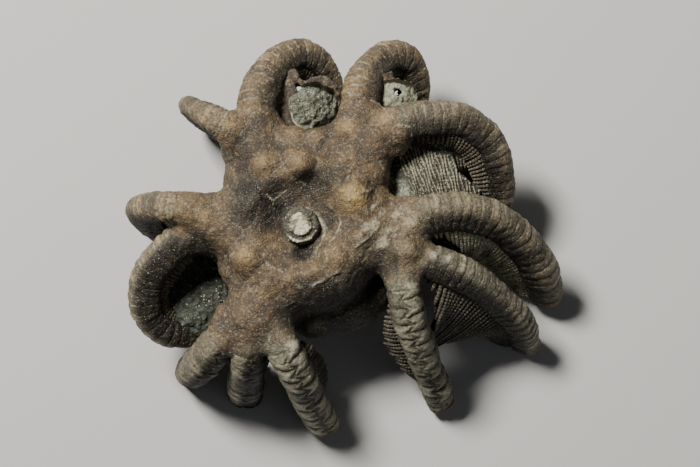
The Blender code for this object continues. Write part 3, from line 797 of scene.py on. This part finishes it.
arm_pieces = [sweep_arm(arm) for arm in ARMS]
print("arms:", len(arm_pieces), "with", sum(len(p.data.polygons) for p in arm_pieces), "faces")


# %% [markdown]
# ## A fine copy of a solid
#
# The cup and the lumps of stone have no course to sweep along, but their solids have the right form.
# A copy of the solid is remeshed finely and smoothed, and then its points move. A point that lies
# below the mean of its surroundings is in a hollow, which tells where dirt stays and where shade is
# painted.

# %% Fine copy of a solid
def read(items, key, width, kind=float):
    """One property of a mesh's points, edges or faces, as rows of numbers."""
    values = np.empty(len(items) * width, kind)
    items.foreach_get(key, values)
    return values.reshape(-1, width)


def fine_copy(node, voxel, rounds, tubes=()):
    """The node's form as even small faces: points in millimetres, normals, edges and faces.

    Tubes, given as rings of points, are fused with it."""
    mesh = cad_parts[node].data.copy()
    bm = bmesh.new()
    bm.from_mesh(mesh)
    bmesh.ops.remove_doubles(bm, verts=bm.verts, dist=0.001 * MM)
    for rings in tubes:
        corners = [bm.verts.new(place) for place in to_world(rings.reshape(-1, 3)).tolist()]
        sides = rings.shape[1]
        for face in grid_faces(len(rings), sides):
            bm.faces.new([corners[i] for i in face])
        bm.faces.new(corners[:sides][::-1])
        bm.faces.new(corners[-sides:])
    bm.to_mesh(mesh)
    bm.free()
    holder = add_object("fine copy", mesh)
    remesh = holder.modifiers.new("remesh", "REMESH")
    remesh.mode = "VOXEL"
    remesh.voxel_size = voxel * MM
    soften = holder.modifiers.new("soften", "SMOOTH")
    soften.factor = 0.5
    soften.iterations = rounds
    graph = bpy.context.evaluated_depsgraph_get()
    made = bpy.data.meshes.new_from_object(holder.evaluated_get(graph))
    bpy.data.objects.remove(holder)
    return (to_local(read(made.vertices, "co", 3)), read(made.vertices, "normal", 3),
            read(made.edges, "vertices", 2, int), read(made.polygons, "vertices", 4, int))


def neighbour_mean(values, edges):
    """Each point's mean over its neighbours."""
    total = np.zeros_like(values)
    np.add.at(total, edges[:, 0], values[edges[:, 1]])
    np.add.at(total, edges[:, 1], values[edges[:, 0]])
    count = np.bincount(edges.ravel(), minlength=len(values))
    return total / (count[:, None] if values.ndim > 1 else count)


def concavity(points, normals, edges, rounds):
    """How far each point lies below its smoothed surroundings, in millimetres."""
    smooth = points
    for _ in range(rounds):
        smooth = neighbour_mean(smooth, edges)
    return ((smooth - points) * normals).sum(axis=1)


def settle_creases(points, edges, faces, passes, rounds, fill, wear):
    """Fill creases and wear down crests, and give the new normals."""
    for _ in range(passes):
        normals = point_normals(points, faces)
        gap = concavity(points, normals, edges, rounds)
        points = points + normals * np.where(gap > 0, gap * fill, gap * wear)[:, None]
        points = neighbour_mean(points, edges) * 0.5 + points * 0.5
    return points, point_normals(points, faces)


def point_normals(points, faces):
    a, b, c, d = (points[faces[:, k]] for k in range(4))
    face_normals = np.cross(c - a, d - b)
    total = np.zeros_like(points)
    for k in range(4):
        np.add.at(total, faces[:, k], face_normals)
    return unit(total)


print("a coarse copy of the stem has", len(fine_copy("stem", 0.6, 1)[0]), "points")


# %% [markdown]
# ## Webs from the cup to the arms
#
# The solids keep a narrow gap between the cup and each arm, but on the fossil the skin runs on. So a
# short tube is fused with the cup's copy at each arm. It is wide at the cup, and it ends inside the
# arm, whose own rings have begun there. The creases between tubes and cup are then filled.

# %% Webs
WEB_FLARE = 0.55
WEB_RINGS = 16
WEB_SIDES = 28
CUP_VOXEL = 0.27


def web_tube(arm):
    """Rings round the arm's root that are wide at the cup and end inside the arm."""
    path = course(arm, np.linspace(0.3, PLATES[arm.name].web, WEB_RINGS))
    share = np.linspace(0, 1, WEB_RINGS)[:, None, None]
    offset = ring_offsets(path, np.linspace(-math.pi, math.pi, WEB_SIDES, endpoint=False))
    inside = 0.10 * ease(share, 0.55, 1.0)
    flare = np.concatenate([1 + WEB_FLARE * (1 - share)**2 - inside] * 2 + [1 - inside], axis=-1)
    return path.centre[:, None, :] + offset * flare


cup_points, cup_normals, cup_edges, cup_faces = fine_copy("calyx", CUP_VOXEL, 6,
                                                          [web_tube(arm) for arm in ARMS])
cup_points, cup_normals = settle_creases(cup_points, cup_edges, cup_faces, 3, 30, 0.9, 0.25)
print("cup:", len(cup_points), "points")


# %% [markdown]
# ## The cup's plates and dirt
#
# The cup is paved with swollen plates. Each is given by its middle and its reach, and a point
# belongs to the plate that it is nearest to, so the seams come by themselves, halfway between two
# middles. Dirt and painted shade darken round patches of the pit and of the low places, among them
# the stem's painted shadow and the dark under the rim, and three dents deepen the dark.

# %% Cup plates
# Middle, reach and how tan each plate of the cup is. The pit's own floor is last
CUP_PLATES = [
    ((0.0, 9.6, 24.9), 2.6, 0.9), ((8.2, 4.8, 24.6), 3.1, 1.0), ((6.9, 15.0, 22.6), 2.5, 1.0),
    ((-6.0, 9.7, 24.2), 2.7, 0.8), ((-1.1, 13.9, 22.6), 2.3, 0.7), ((2.6, 13.5, 22.8), 2.3, 0.7),
    ((11.9, 3.9, 22.8), 2.6, 0.6), ((16.9, 0.9, 23.2), 2.0, 0.9), ((16.9, -3.5, 23.6), 1.5, 1.0),
    ((-8.2, -5.0, 24.3), 3.2, 0.8), ((-5.0, -8.2, 24.3), 2.8, 0.6), ((-1.6, -8.6, 24.4), 2.5, 0.6),
    ((2.2, -7.3, 24.6), 2.4, 0.4), ((5.8, -4.6, 24.7), 2.5, 0.4), ((9.2, -1.6, 24.7), 2.6, 0.3),
    ((-8.9, 3.0, 24.5), 2.8, 0.2), ((-15.5, 1.6, 22.9), 2.4, 0.8), ((-10.8, 15.0, 22.4), 2.4, 0.8),
    ((11.6, 8.4, 22.4), 2.7, 0.3), ((3.6, -9.8, 22.2), 2.4, 0.5), ((7.6, -8.6, 22.0), 2.6, 0.4),
    ((-8.0, -12.6, 22.6), 3.0, 0.6), ((-3.0, 6.2, 25.0), 2.4, 0.0), ((4.4, 7.6, 25.0), 2.4, 0.1),
    ((-5.5, -1.0, 25.0), 2.6, 0.0), ((12.2, -3.6, 23.4), 2.6, 0.4), ((11.2, 12.0, 22.6), 2.6, 0.6),
    ((-12.2, -1.4, 23.6), 2.6, 0.3), ((-11.9, 4.8, 22.8), 2.4, 0.3), ((-7.2, 13.0, 24.0), 2.4, 0.5),
    ((5.2, 11.4, 23.8), 2.6, 0.5), ((-3.4, -12.6, 22.6), 2.4, 0.6), ((0.0, 0.0, 24.0), 3.4, 0.0),
]
SEAM_WIDTH = 0.18

# Grime in the low places, and painted shade such as the stem's shadow and the dark under the rim:
# middle, reach and strength
GRIME_AND_SHADOWS = [
    ((-3.4, 5.2), 3.4, 1.00), ((1.2, 6.9), 3.2, 1.20), ((-7.6, 2.6), 4.6, 0.85),
    ((0.2, -3.9), 2.0, 1.60), ((-8.6, 8.0), 2.8, 0.60), ((-3.6, 0.6), 3.0, 0.60),
    ((3.6, 1.6), 2.2, 0.45), ((6.2, 8.4), 2.0, 0.35), ((-7.8, 13.2), 2.4, 0.40),
    ((3.9, 11.9), 2.0, 0.40), ((-3.2, 12.4), 1.5, 0.40), ((9.6, 12.6), 2.2, 0.30),
    ((-11.6, -2.6), 3.0, 0.40), ((-12.8, 7.6), 2.6, 0.40), ((-9.8, 11.6), 2.0, 0.35),
    ((13.6, -6.0), 3.0, 0.60), ((9.6, -8.8), 4.4, 0.80), ((2.5, -12.8), 4.8, 0.90),
    ((12.4, 6.6), 2.0, 0.30), ((13.8, 9.6), 2.2, 0.35), ((21.0, -3.4), 2.4, 0.40),
    ((-16.6, -3.4), 3.0, 1.20), ((-2.0, -14.2), 2.8, 0.80), ((7.5, -14.5), 5.5, 1.40),
]
# Where the skin is pressed down: middle, reach and depth
DENTS = [((0.5, -3.7), 1.3, 0.9), ((-3.2, 5.2), 2.0, 0.6), ((1.4, 6.6), 1.7, 0.8)]
print("cup:", len(CUP_PLATES), "plates,", len(GRIME_AND_SHADOWS), "patches of grime,", len(DENTS), "dents")


# %% Cup helpers
ARM_REACH = 6.0  # points further than this from an arm's course aren't looked at
ON_ARM = 1.9  # a point this many half widths from the course still takes the arm's plates


def cup_seams(points):
    """The distance to the nearest seam, and which plate each point is on."""
    wander = np.stack([grain(points, 2.2, seed) for seed in (51, 52, 53)], axis=-1) * 0.45
    middles = np.array([plate[0] for plate in CUP_PLATES])
    reaches = np.array([plate[1] for plate in CUP_PLATES])
    gaps = np.linalg.norm((points + wander)[:, None, :] - middles[None], axis=-1) - reaches * 0.6
    order = np.argsort(gaps, axis=1)
    rows = np.arange(len(points))
    first, second = gaps[rows, order[:, 0]], gaps[rows, order[:, 1]]
    return (second - first) / 2, order[:, 0], first


def near_arms(points):
    """For each arm, the points near its root and where they are along and round it."""
    best = np.full(len(points), np.inf)
    found = []
    for arm in ARMS:
        stations = np.arange(-0.5, PLATES[arm.name].web + 1.5, 0.2)
        path = course(arm, stations)
        low, high = path.centre.min(axis=0) - ARM_REACH, path.centre.max(axis=0) + ARM_REACH
        rows = np.flatnonzero(((points > low) & (points < high)).all(axis=1))
        far = np.linalg.norm(points[rows][:, None, :] - path.centre[None], axis=-1)
        nearest = far.argmin(axis=1)
        offset = points[rows] - path.centre[nearest]
        across = (offset * path.side[nearest]).sum(axis=1) / path.width[nearest]
        upward = (offset * path.back[nearest]).sum(axis=1) / path.depth[nearest]
        off = np.hypot(across, upward) * 2
        found.append((rows, stations[nearest], np.arctan2(across, upward), off))
        best[rows] = np.minimum(best[rows], off)
    return best, found


def grime_and_shade(points):
    """Dirt and painted shade in the pit and the cup's other low places."""
    dirt_and_shade = np.zeros(len(points))
    for (x, y), reach, strength in GRIME_AND_SHADOWS:
        far = np.hypot(points[:, 0] - x, points[:, 1] - y) + grain(points, 2.0, 65) * 0.7
        dirt_and_shade = dirt_and_shade + strength * (1 - ease(far, reach * 0.4, reach * 1.25))
    return dirt_and_shade


# %% [markdown]
# ## The cup's skin
#
# Seams and plates, dirt and painted shade are added up for the whole cup. Near an arm's root they
# give way to the arm's own plates, worked out with the arm's function, so the seams run on over the
# web.

# %% Cup skin
def cup_masks(points, relief, apart, plate, depth_in, groove, above):
    tans = np.array([p[2] for p in CUP_PLATES])[plate]
    # Painted shade: the cup darkens below its rim, and in its creases where relief is high
    under = 1 - ease(points[:, 2], 17.0, 21.5)
    # Convex places turn tan: stain, and partly a painted highlight
    swollen = ease(-relief, 0.0, 0.16) * 0.5 + 0.6 * tans * (1 - ease(depth_in, -1.0, 0.9))
    dirt_and_shade = 0.8 * ease(relief, 0.02, 0.22) + grime_and_shade(points) + under + groove * 0.4
    return {"seam": 0.5 * np.exp(-(apart / 0.08)**2) * above * ease(grain(points, 3.0, 61), 0.1, 0.5),
            "hollow": np.clip(dirt_and_shade, 0, DEEPEST_SHADE),
            "proud": np.clip(swollen, 0, 1) * above,
            "tone": hashed(np.stack([plate, plate, plate], axis=-1) + 7, 3) * 0.8,
            "olive": 0.1 + 0.25 * ease(points[:, 0] - points[:, 1], 6.0, 18.0)}


def dress_cup(points, normals, edges, faces):
    apart, plate, depth_in = cup_seams(points)
    above = ease(points[:, 2], 16.0, 20.0)
    groove = np.exp(-(apart / SEAM_WIDTH)**2) * above
    height = -0.08 * groove + 0.05 * (1 - np.exp(-(apart / 0.7)**2)) * above
    relief = concavity(points, normals, edges, 24)
    masks = cup_masks(points, relief, apart, plate, depth_in, groove, above)
    best, found = near_arms(points)
    for arm, (rows, along, angle, off) in zip(ARMS, found):
        web = PLATES[arm.name].web
        belongs = (off <= best[rows] + 1e-6) & (off < ON_ARM)
        share = np.where(belongs, ease(along, web * 0.4, web * 0.8), 0.0)
        arm_height, arm_masks = plate_relief(arm, along, angle, arm.root[0])
        height[rows] += (arm_height - height[rows]) * share
        for key in masks:
            masks[key][rows] += (arm_masks[key] - masks[key][rows]) * share
    height = mark(points, masks, height)
    for (x, y), reach, deep in DENTS:
        height -= deep * np.exp(-(np.hypot(points[:, 0] - x, points[:, 1] - y) / reach)**2) * above
    return new_piece("cup", points + normals * height[:, None], faces, masks, plate_skin,
                     "calyx")


cup = dress_cup(cup_points, cup_normals, cup_edges, cup_faces)
print("cup faces:", len(cup.data.polygons))


# %% [markdown]
# ## Stone in the coils
#
# The lumps of matrix get the same treatment with a rougher grain. Ridges come from the noise's
# absolute value, which has sharp creases like broken crystals. Most of a lump in a coil is hidden,
# and what shows is its eye. Round the eye it turns into the ribbed flank of the coil, so that the
# two meet without a gap.

# %% Matrix pieces
MATRIX_VOXEL = 0.17
EYE_RIBS = 22
EYE_RISE = 0.6
UP = np.array([0, 0, 1])


def beyond_line(points, line):
    """How far each point lies to the left of the line from one point to another."""
    start, end = np.array(line)
    (ahead_x, ahead_y), away = unit(end - start), points[:, :2] - start
    return ahead_x * away[:, 1] - ahead_y * away[:, 0]


def eye_of(points, normals, masks, ridge, eye, upper):
    """Turn the stone round its eye into the flank of its coil."""
    (x, y), (reach_x, reach_y) = eye
    out_x, out_y = (points[:, 0] - x) / reach_x, (points[:, 1] - y) / reach_y
    far = np.hypot(out_x, out_y) + lattice(points, 1.2, 97) * 0.08
    rim = ease(far, 0.96, 1.12) * upper
    rib = 0.5 + 0.5 * np.cos(EYE_RIBS * np.arctan2(out_y, out_x) + lattice(points, 2.0, 99))
    edge = np.exp(-((far - 0.98) / 0.05)**2) * ease(-points[:, 1] + y, -0.5, 1.5)
    masks.update(rim=rim, tone=rib * ease(grain(points, 2.0, 93), -0.9, 0.3), seam=edge)
    ridge = ridge * (1 - rim) + (rib * 0.12 + rough_stone(points) * 1.4) * rim
    top = points[:, 2].max() + EYE_RISE * ease(far, 1.0, 1.6)
    return points + UP * (rim * np.clip(top - points[:, 2], 0, 4))[:, None], ridge


def dress_matrix(node, finish, crystal, rough, eye=None, spread=1.0, lift=(0.0, 0.0), pale=None):
    """Matrix with crystal ridges. Its eye is a middle and two reaches.

    Its top is lifted by two amounts, at its left and its right end. Only what lies below the line
    through two points stays pale: the rest is darkened as painted shade."""
    points, normals, edges, faces = fine_copy(node, MATRIX_VOXEL, 4)
    middle = (points.min(axis=0) + points.max(axis=0)) / 2
    points = middle + (points - middle) * np.array([spread, spread, 1.0])
    upper = ease(points[:, 2], middle[2] - 0.5, middle[2] + 0.8)
    raised = np.interp(points[:, 0], (points[:, 0].min(), points[:, 0].max()), lift)
    points = points + UP * (upper * raised)[:, None]
    hollow = ease(concavity(points, normals, edges, 12), 0.01, 0.12)
    ridge = (0.5 - np.abs(lattice(points, 1.1, 91))) * crystal
    ridge = ridge + (0.5 - np.abs(lattice(points, 0.5, 94))) * crystal * 0.5
    ridge = ridge + grain(points, 0.5, 95) * rough
    if pale:
        # Painted shade: the stone beyond the line lies in the arch's shadow
        shaded_side = beyond_line(points, pale) + grain(points, 1.5, 89, 2) * 0.5
        hollow = hollow + ease(shaded_side, -0.3, 0.7) * 0.9
    masks = {"hollow": np.clip(hollow + ease(-ridge, 0.1, 0.3) * 0.6, 0, 1)}
    if eye:
        points, ridge = eye_of(points, normals, masks, ridge, eye, upper)
    return new_piece("stone_" + node, points + normals * ridge[:, None], faces, masks, finish,
                     node)


matrix_pieces = {
    "coil_02": dress_matrix("matrix_in_arm_02", crystal_matrix, 0.35, 0.14,
                            eye=((1.9, 19.0), (3.9, 3.6)), lift=(4.5, 1.0)),
    "coil_03": dress_matrix("matrix_in_arm_03", pale_matrix, 0.28, 0.16,
                            eye=((15.0, 20.7), (3.2, 2.6)), lift=(4.8, 2.5)),
    "arch_04": dress_matrix("matrix_under_arm_04", wall_matrix, 0.05, 0.05,
                            spread=1.14, lift=(4.4, 2.4), pale=((13.6, 8.0), (21.4, 3.9))),
    "gap_06": dress_matrix("matrix_beside_arm_06", dark_shaded_matrix, 0.25, 0.15),
    "coil_11": dress_matrix("matrix_in_arm_11", dark_shaded_matrix, 0.45, 0.12, spread=1.36),
}
print("matrix:", {place: len(p.data.polygons) for place, p in matrix_pieces.items()})


# %% [markdown]
# ## The stem's stub
#
# The stem is a stack of round ossicles. The top one is broken and pale, with a ring of fine ridges
# where the next one sat, and a brighter edge where the stone has chipped.

# %% Stem
STEM_SIDES = 160
STEM_RIDGES = 26
STEM_PROFILE = [(0.0, 23.2), (2.8, 23.2), (3.0, 24.6), (2.95, 24.95), (2.75, 25.1), (2.7, 25.2),
                (2.85, 25.35), (2.8, 25.55), (2.5, 25.70), (2.0, 25.75), (1.85, 25.85), (1.85, 26.05),
                (1.7, 26.22), (1.2, 26.3), (0.6, 26.22), (0.0, 26.2)]
PROFILE_STEP = 0.09
STEM_LEAN = (-0.15, 0.3)


def outward_shift(points, amount):
    flat = points * np.array([1, 1, 0])
    length = np.maximum(np.linalg.norm(flat, axis=-1, keepdims=True), 0.3)
    return flat / length * amount[..., None] * 0.7


def build_stem():
    profile = []
    for (r0, z0), (r1, z1) in zip(STEM_PROFILE, STEM_PROFILE[1:]):
        count = max(1, int(math.hypot(r1 - r0, z1 - z0) / PROFILE_STEP))
        profile += [(r0 + (r1 - r0) * t, z0 + (z1 - z0) * t) for t in np.arange(count) / count]
    out, up = np.array(profile[1:]).T[..., None]
    angle = np.linspace(0, 2 * math.pi, STEM_SIDES, endpoint=False)
    radius = out * (1 + 0.02 * np.cos(3 * angle + 0.6))[None, :]
    points = np.stack([radius * np.cos(angle), radius * np.sin(angle),
                       np.repeat(up, STEM_SIDES, axis=1)], axis=-1)
    ridges = 0.03 * np.cos(STEM_RIDGES * angle)[None, :] * ease(out, 1.9, 2.4)
    rough = grain(points, 0.9, 101) * 0.12 + grain(points, 0.25, 103, 2) * 0.10
    points[..., 2] = points[..., 2] + (rough + ridges) * ease(up, 24.6, 25.4)
    points = points + outward_shift(points, rough)
    points[..., :2] += np.array(STEM_LEAN) * ease(points[..., 2], 24.6, 26.2)[..., None]
    high = ease(up, 25.9, 26.2)
    ledge = np.exp(-((radius - 2.6) / 0.22)**2) * ease(up, 25.2, 25.5)
    ledge = ledge * ease(-np.sin(angle), 0.3, 0.8)
    crust = high * ease(grain(points, 1.3, 109), -0.5, 0.4) + ledge
    # Dirt and painted shade: the stem darkens on its sides, below its top and its ledge
    dirt_and_shade = 1 - high - ledge + grain(points, 1.0, 107) * 0.35
    masks = {"hollow": np.clip(dirt_and_shade, 0, 1).ravel() * 0.9, "seam": np.clip(crust, 0, 1).ravel() * 0.85}
    return close_ends(new_piece("stem_stub", points.reshape(-1, 3), grid_faces(len(up), STEM_SIDES),
                                masks, stem_stone, "stem"))


stem = build_stem()
print("stem faces:", len(stem.data.polygons))


# %% [markdown]
# ## Pinnules
#
# Pinnules are fine beaded branches that stand close together along each arm's inner face. A guide
# line for each is worked out in Python, since it follows the arm. The beads repeat, so Geometry
# Nodes sweep them: the guides become curves, their radius swells at each bead, and a small circle
# is drawn along them.

# %% Pinnule tree
PINNULE_INPUTS = {"Step": "NodeSocketFloat", "Bead pitch": "NodeSocketFloat",
                  "Bead swell": "NodeSocketFloat", "Sides": "NodeSocketInt",
                  "Stone": "NodeSocketMaterial"}


def pinnule_tree():
    """Sweep guides as beaded tubes. Also gives the identifier of each named input."""
    tree = bpy.data.node_groups.new("beaded pinnules", "GeometryNodeTree")
    for way in ("INPUT", "OUTPUT"):
        tree.interface.new_socket("Geometry", in_out=way, socket_type="NodeSocketGeometry")
    keys = {label: tree.interface.new_socket(label, in_out="INPUT", socket_type=kind).identifier
            for label, kind in PINNULE_INPUTS.items()}
    n = Nodes(tree)
    given = n.make("NodeGroupInput", {}, {}).outputs

    def attribute(name):
        return n.value("GeometryNodeInputNamedAttribute", {"data_type": "FLOAT"}, {"Name": name},
                       "Attribute")

    lines = n.value("GeometryNodeMeshToCurve", {}, {"Mesh": given["Geometry"]})
    even = n.value("GeometryNodeResampleCurve", {"mode": "LENGTH"},
                   {"Curve": lines, "Length": given["Step"]})
    along = n.value("GeometryNodeSplineParameter", {}, {}, "Length")
    turns = along / given["Bead pitch"] + attribute("phase")
    angle = turns * (2 * math.pi)
    wave = angle.math("SINE", angle)
    radius = wave.math("MULTIPLY_ADD", wave, given["Bead swell"], 1.0) * attribute("thick")
    sized = n.value("GeometryNodeSetCurveRadius", {}, {"Curve": even, "Radius": radius})
    circle = n.value("GeometryNodeCurvePrimitiveCircle", {},
                     {"Resolution": given["Sides"], "Radius": 1.0})
    tube = n.make("GeometryNodeCurveToMesh", {},
                  {"Curve": sized, "Profile Curve": circle, "Fill Caps": True})
    if "Scale" in tube.inputs:
        n.feed(tube.inputs["Scale"], radius)
    whole = n.value("GeometryNodeRealizeInstances", {}, {0: tube.outputs[0]})
    stone = n.value("GeometryNodeSetMaterial", {}, {"Geometry": whole, "Material": given["Stone"]})
    n.make("NodeGroupOutput", {}, {0: stone})
    return tree, keys


PINNULES, PINNULE_KEYS = pinnule_tree()
print("pinnule tree:", len(PINNULES.nodes), "nodes")


# %% [markdown]
# ## From guides to pinnules
#
# The guides of one arm make one mesh of edges. Its attributes say how thick and how dirty each place
# is, and where each pinnule's first bead is. The tree's inputs are set by their identifiers, and the
# evaluated result is kept as a plain mesh.

# %% Pinnule pieces
STEP = 0.15
BEAD_PITCH = 0.58
BEAD_SWELL = 0.22
PINNULE_SIDES = 7


def sweep(name, guides, finish):
    """Run the tree on a mesh of guides, and keep the result as a plain piece."""
    holder = add_object(name + " guides", guides)
    modifier = holder.modifiers.new(name, "NODES")
    modifier.node_group = PINNULES
    values = {"Step": STEP * MM, "Bead pitch": BEAD_PITCH * MM, "Bead swell": BEAD_SWELL,
              "Sides": PINNULE_SIDES, "Stone": finish}
    for label, value in values.items():
        modifier[PINNULE_KEYS[label]] = value
    graph = bpy.context.evaluated_depsgraph_get()
    mesh = bpy.data.meshes.new_from_object(holder.evaluated_get(graph))
    bpy.data.objects.remove(holder)
    mesh.name = name
    return settle(add_object(name, mesh))


def pinnule_piece(name, lines, radius, finish, dirt_and_shade, cream):
    """Sweep guide lines, arrays of points in millimetres that run from root to tip."""
    edges, thick, hollow, tone, phase = [], [], [], [], []
    for k, line in enumerate(lines):
        first = len(thick)
        edges += [(first + i, first + i + 1) for i in range(len(line) - 1)]
        share = np.linspace(0, 1, len(line))
        chances = hashed(np.array([[k + 3, 5, 9]]), 17), hashed(np.array([[k + 1, 2, 3]]), 19)
        # Painted shade: darker near the root, under the arm, and low down towards the floor. The
        # chance is dirt
        deep = 0.45 * (1 - ease(line[:, 2], 6.0, 17.0))
        thick += list(radius * MM * (1 - 0.45 * share**2))
        hollow += list(dirt_and_shade * (0.5 * (1 - share) + 0.2 * chances[0][0] + deep))
        tone += [0.25 * chances[1][0]] * len(line)
        phase += [hashed(np.array([[k + 4, 6, 7]]), 31)[0]] * len(line)
    guides = bpy.data.meshes.new(name)
    guides.from_pydata(to_world(np.concatenate(lines)).tolist(), edges, [])
    store_masks(guides, {"thick": thick, "hollow": hollow, "tone": tone, "phase": phase,
                         "proud": 0.05, "seam": cream})
    return sweep(name, guides, finish)


print("a pinnule has a bead each", BEAD_PITCH, "mm")


# %% [markdown]
# ## Fringes
#
# Two rows of pinnules stand along each arm's inner face, one at each edge. They run to the edge of
# the solid's fringe, bowed a little and of uneven length, so that their tips make a ragged comb. The
# fringe of arm 05 is clean and pale on the fossil, and the others are dark with dirt and with painted
# shade, darkest at their roots and low down.

# %% Fringes
PINNULE_PITCH = 0.92
PINNULE_RADIUS = 0.36
GUIDE_POINTS = 9
LOWEST = 0.4


def fringe_lines(arm):
    """Guides from both edges of the arm's inner face to the edge of its fringe."""
    length = LENGTHS[arm.name]
    seed = int(arm.name[-2:])
    stations = np.arange(arm.free + 0.6, length - 0.3, PINNULE_PITCH)
    path = course(arm, stations)
    fringe = np.interp(path.share, FRINGE_SHARES, (ROOT_FRINGE,) + arm.fringe)
    lean = np.radians(arm.splay) * np.minimum(1.0, fringe / FULL_LEAN)
    lines = []
    for row, hand in enumerate((-1, 1)):
        for k in range(len(stations)):
            chance = hashed(np.array([[k + 5, row + 1, seed]]), 29 + seed)[0]
            reach = path.depth[k] / 2 + fringe[k] * (0.86 + 0.18 * chance)
            away = path.side[k] * math.sin(lean[k]) - path.back[k] * math.cos(lean[k])
            across = path.side[k] * math.cos(lean[k]) + path.back[k] * math.sin(lean[k])
            root = path.centre[k] - path.back[k] * path.depth[k] * 0.28
            root = root + path.side[k] * hand * path.width[k] * 0.27
            tip = path.centre[k] + reach * away + across * hand * 0.42
            tip = tip + path.forward[k] * arm.lean * fringe[k]
            t = np.linspace(0, 1, GUIDE_POINTS)[:, None]
            bow = across * hand * 0.5 * np.sin(math.pi * t)
            bow = bow + path.forward[k] * (chance - 0.5) * t * 0.7
            line = root + (tip - root) * t + bow * np.minimum(1.0, fringe[k] / FULL_LEAN)
            line[:, 2] = np.maximum(line[:, 2], LOWEST)
            lines.append(line)
    return lines


# Finish, dirt and painted shade, and cream of the pale fringe and of the others
PALE_FRINGE = {"arm_05": (wall_skin, 0.0, 1.0)}
DIRTY_SHADED_FRINGE = (dirty_shaded_pinnule_skin, 1.3, 0.12)
fringes = [pinnule_piece("pinnules_" + arm.name, fringe_lines(arm), PINNULE_RADIUS,
                         *PALE_FRINGE.get(arm.name, DIRTY_SHADED_FRINGE)) for arm in ARMS]
print("fringes:", [len(p.data.polygons) for p in fringes])


# %% [markdown]
# ## The wall of pinnules under arm 04
#
# In the hollow under the widest arch, pinnules lie side by side on the matrix, like the pipes of an
# organ. Their guides run down the hollow and are dropped onto the stone from above.

# %% Pinnule wall
WALL_COUNT = 24
WALL_STARTS = ((14.6, 13.4), (30.4, 9.8))
WALL_DIRECTIONS = ((0.40, -0.92), (0.12, -0.99))
WALL_LENGTHS = (9.0, 6.4)
WALL_RADIUS = 0.19
WALL_POINTS = 14
DROP_FROM = 30.0


def ground_under(piece):
    bm = bmesh.new()
    bm.from_mesh(piece.data)
    tree = BVHTree.FromBMesh(bm)
    bm.free()
    return tree


def wall_lines(ground):
    lines = []
    for share in np.linspace(0, 1, WALL_COUNT):
        start, direction, length = (
            np.array(first) * (1 - share) + np.array(last) * share
            for first, last in (WALL_STARTS, WALL_DIRECTIONS, WALL_LENGTHS))
        height = None
        line = []
        for t in np.linspace(0, 1, WALL_POINTS):
            x, y = start + direction * length * t
            above = to_world((x, y, DROP_FROM))
            hit = ground.ray_cast(above.tolist(), (0, 0, -1))[0]
            if hit is not None:
                height = to_local(hit)[2] + WALL_RADIUS * 0.35
            if height is not None:
                line.append((x + 0.12 * math.sin(9 * t + 40 * share), y,
                             height + 0.1 * math.sin(13 * t + 60 * share)))
        if len(line) > 3:
            lines.append(np.array(line))
    return lines


wall = pinnule_piece("pinnule_wall", wall_lines(ground_under(matrix_pieces["arch_04"])), WALL_RADIUS,
                     wall_skin, 0.6, 0.5)
print("pinnule wall:", len(wall.data.polygons), "faces")


# %% [markdown]
# ## Light, floor and camera
#
# The camera looks straight down through a long lens. One soft lamp stands to the upper left, as the
# shadows in the hollows show, and a weak one fills in from the right. The floor is pale paper.

# %% Stage
CAMERA_PLACE = (7.737, -1.184, 420.0)
LENS_MM = 128.0
SENSOR_MM = 36.0
FLOOR_HALF = 1.5
FLOOR_GREY = (0.62, 0.62, 0.61)
LAMP_AIM = (0, 0, 0.015)
SKY = (0.9, 0.95, 1.0)
SKY_STRENGTH = 0.035


def add_floor():
    mesh = bpy.data.meshes.new("floor")
    corners = [(x * FLOOR_HALF, y * FLOOR_HALF, 0) for x, y in ((-1, -1), (1, -1), (1, 1), (-1, 1))]
    mesh.from_pydata(corners, [], [(0, 1, 2, 3)])
    paper = Stone("floor paper")
    paper.feed(paper.shader.inputs["Base Color"], FLOOR_GREY)
    paper.feed(paper.shader.inputs["Roughness"], 0.9)
    mesh.materials.append(paper.material)
    floor = add_object("floor", mesh)


def add_lamp(name, place, size, power, colour):
    """An area lamp that faces the fossil's middle."""
    data = bpy.data.lights.new(name, "AREA")
    data.size, data.energy, data.color = size, power, colour
    lamp = add_object(name, data)
    lamp.location = place
    lamp.rotation_mode = "QUATERNION"
    lamp.rotation_quaternion = (Vector(LAMP_AIM) - Vector(place)).to_track_quat("-Z", "Y")


def add_camera():
    data = bpy.data.cameras.new("camera")
    data.lens, data.sensor_width, data.sensor_fit = LENS_MM, SENSOR_MM, "HORIZONTAL"
    data.clip_start = 0.01
    camera = add_object("camera", data)
    camera.location = to_world(CAMERA_PLACE)
    bpy.context.scene.camera = camera


def add_sky():
    world = bpy.data.worlds.new("studio")
    bpy.context.scene.world = world
    world.use_nodes = True
    sky = world.node_tree.nodes["Background"].inputs
    sky[0].default_value, sky[1].default_value = (*SKY, 1), SKY_STRENGTH


add_floor()
# Place and size in metres, power in watts, and colour
add_lamp("key", (-0.22, 0.27, 0.46), 0.12, 5.7, (1.0, 0.97, 0.92))
add_lamp("fill", (0.45, -0.25, 0.40), 0.40, 0.14, (0.92, 0.96, 1.0))
add_camera()
add_sky()
print("camera at", tuple(bpy.context.scene.camera.location))
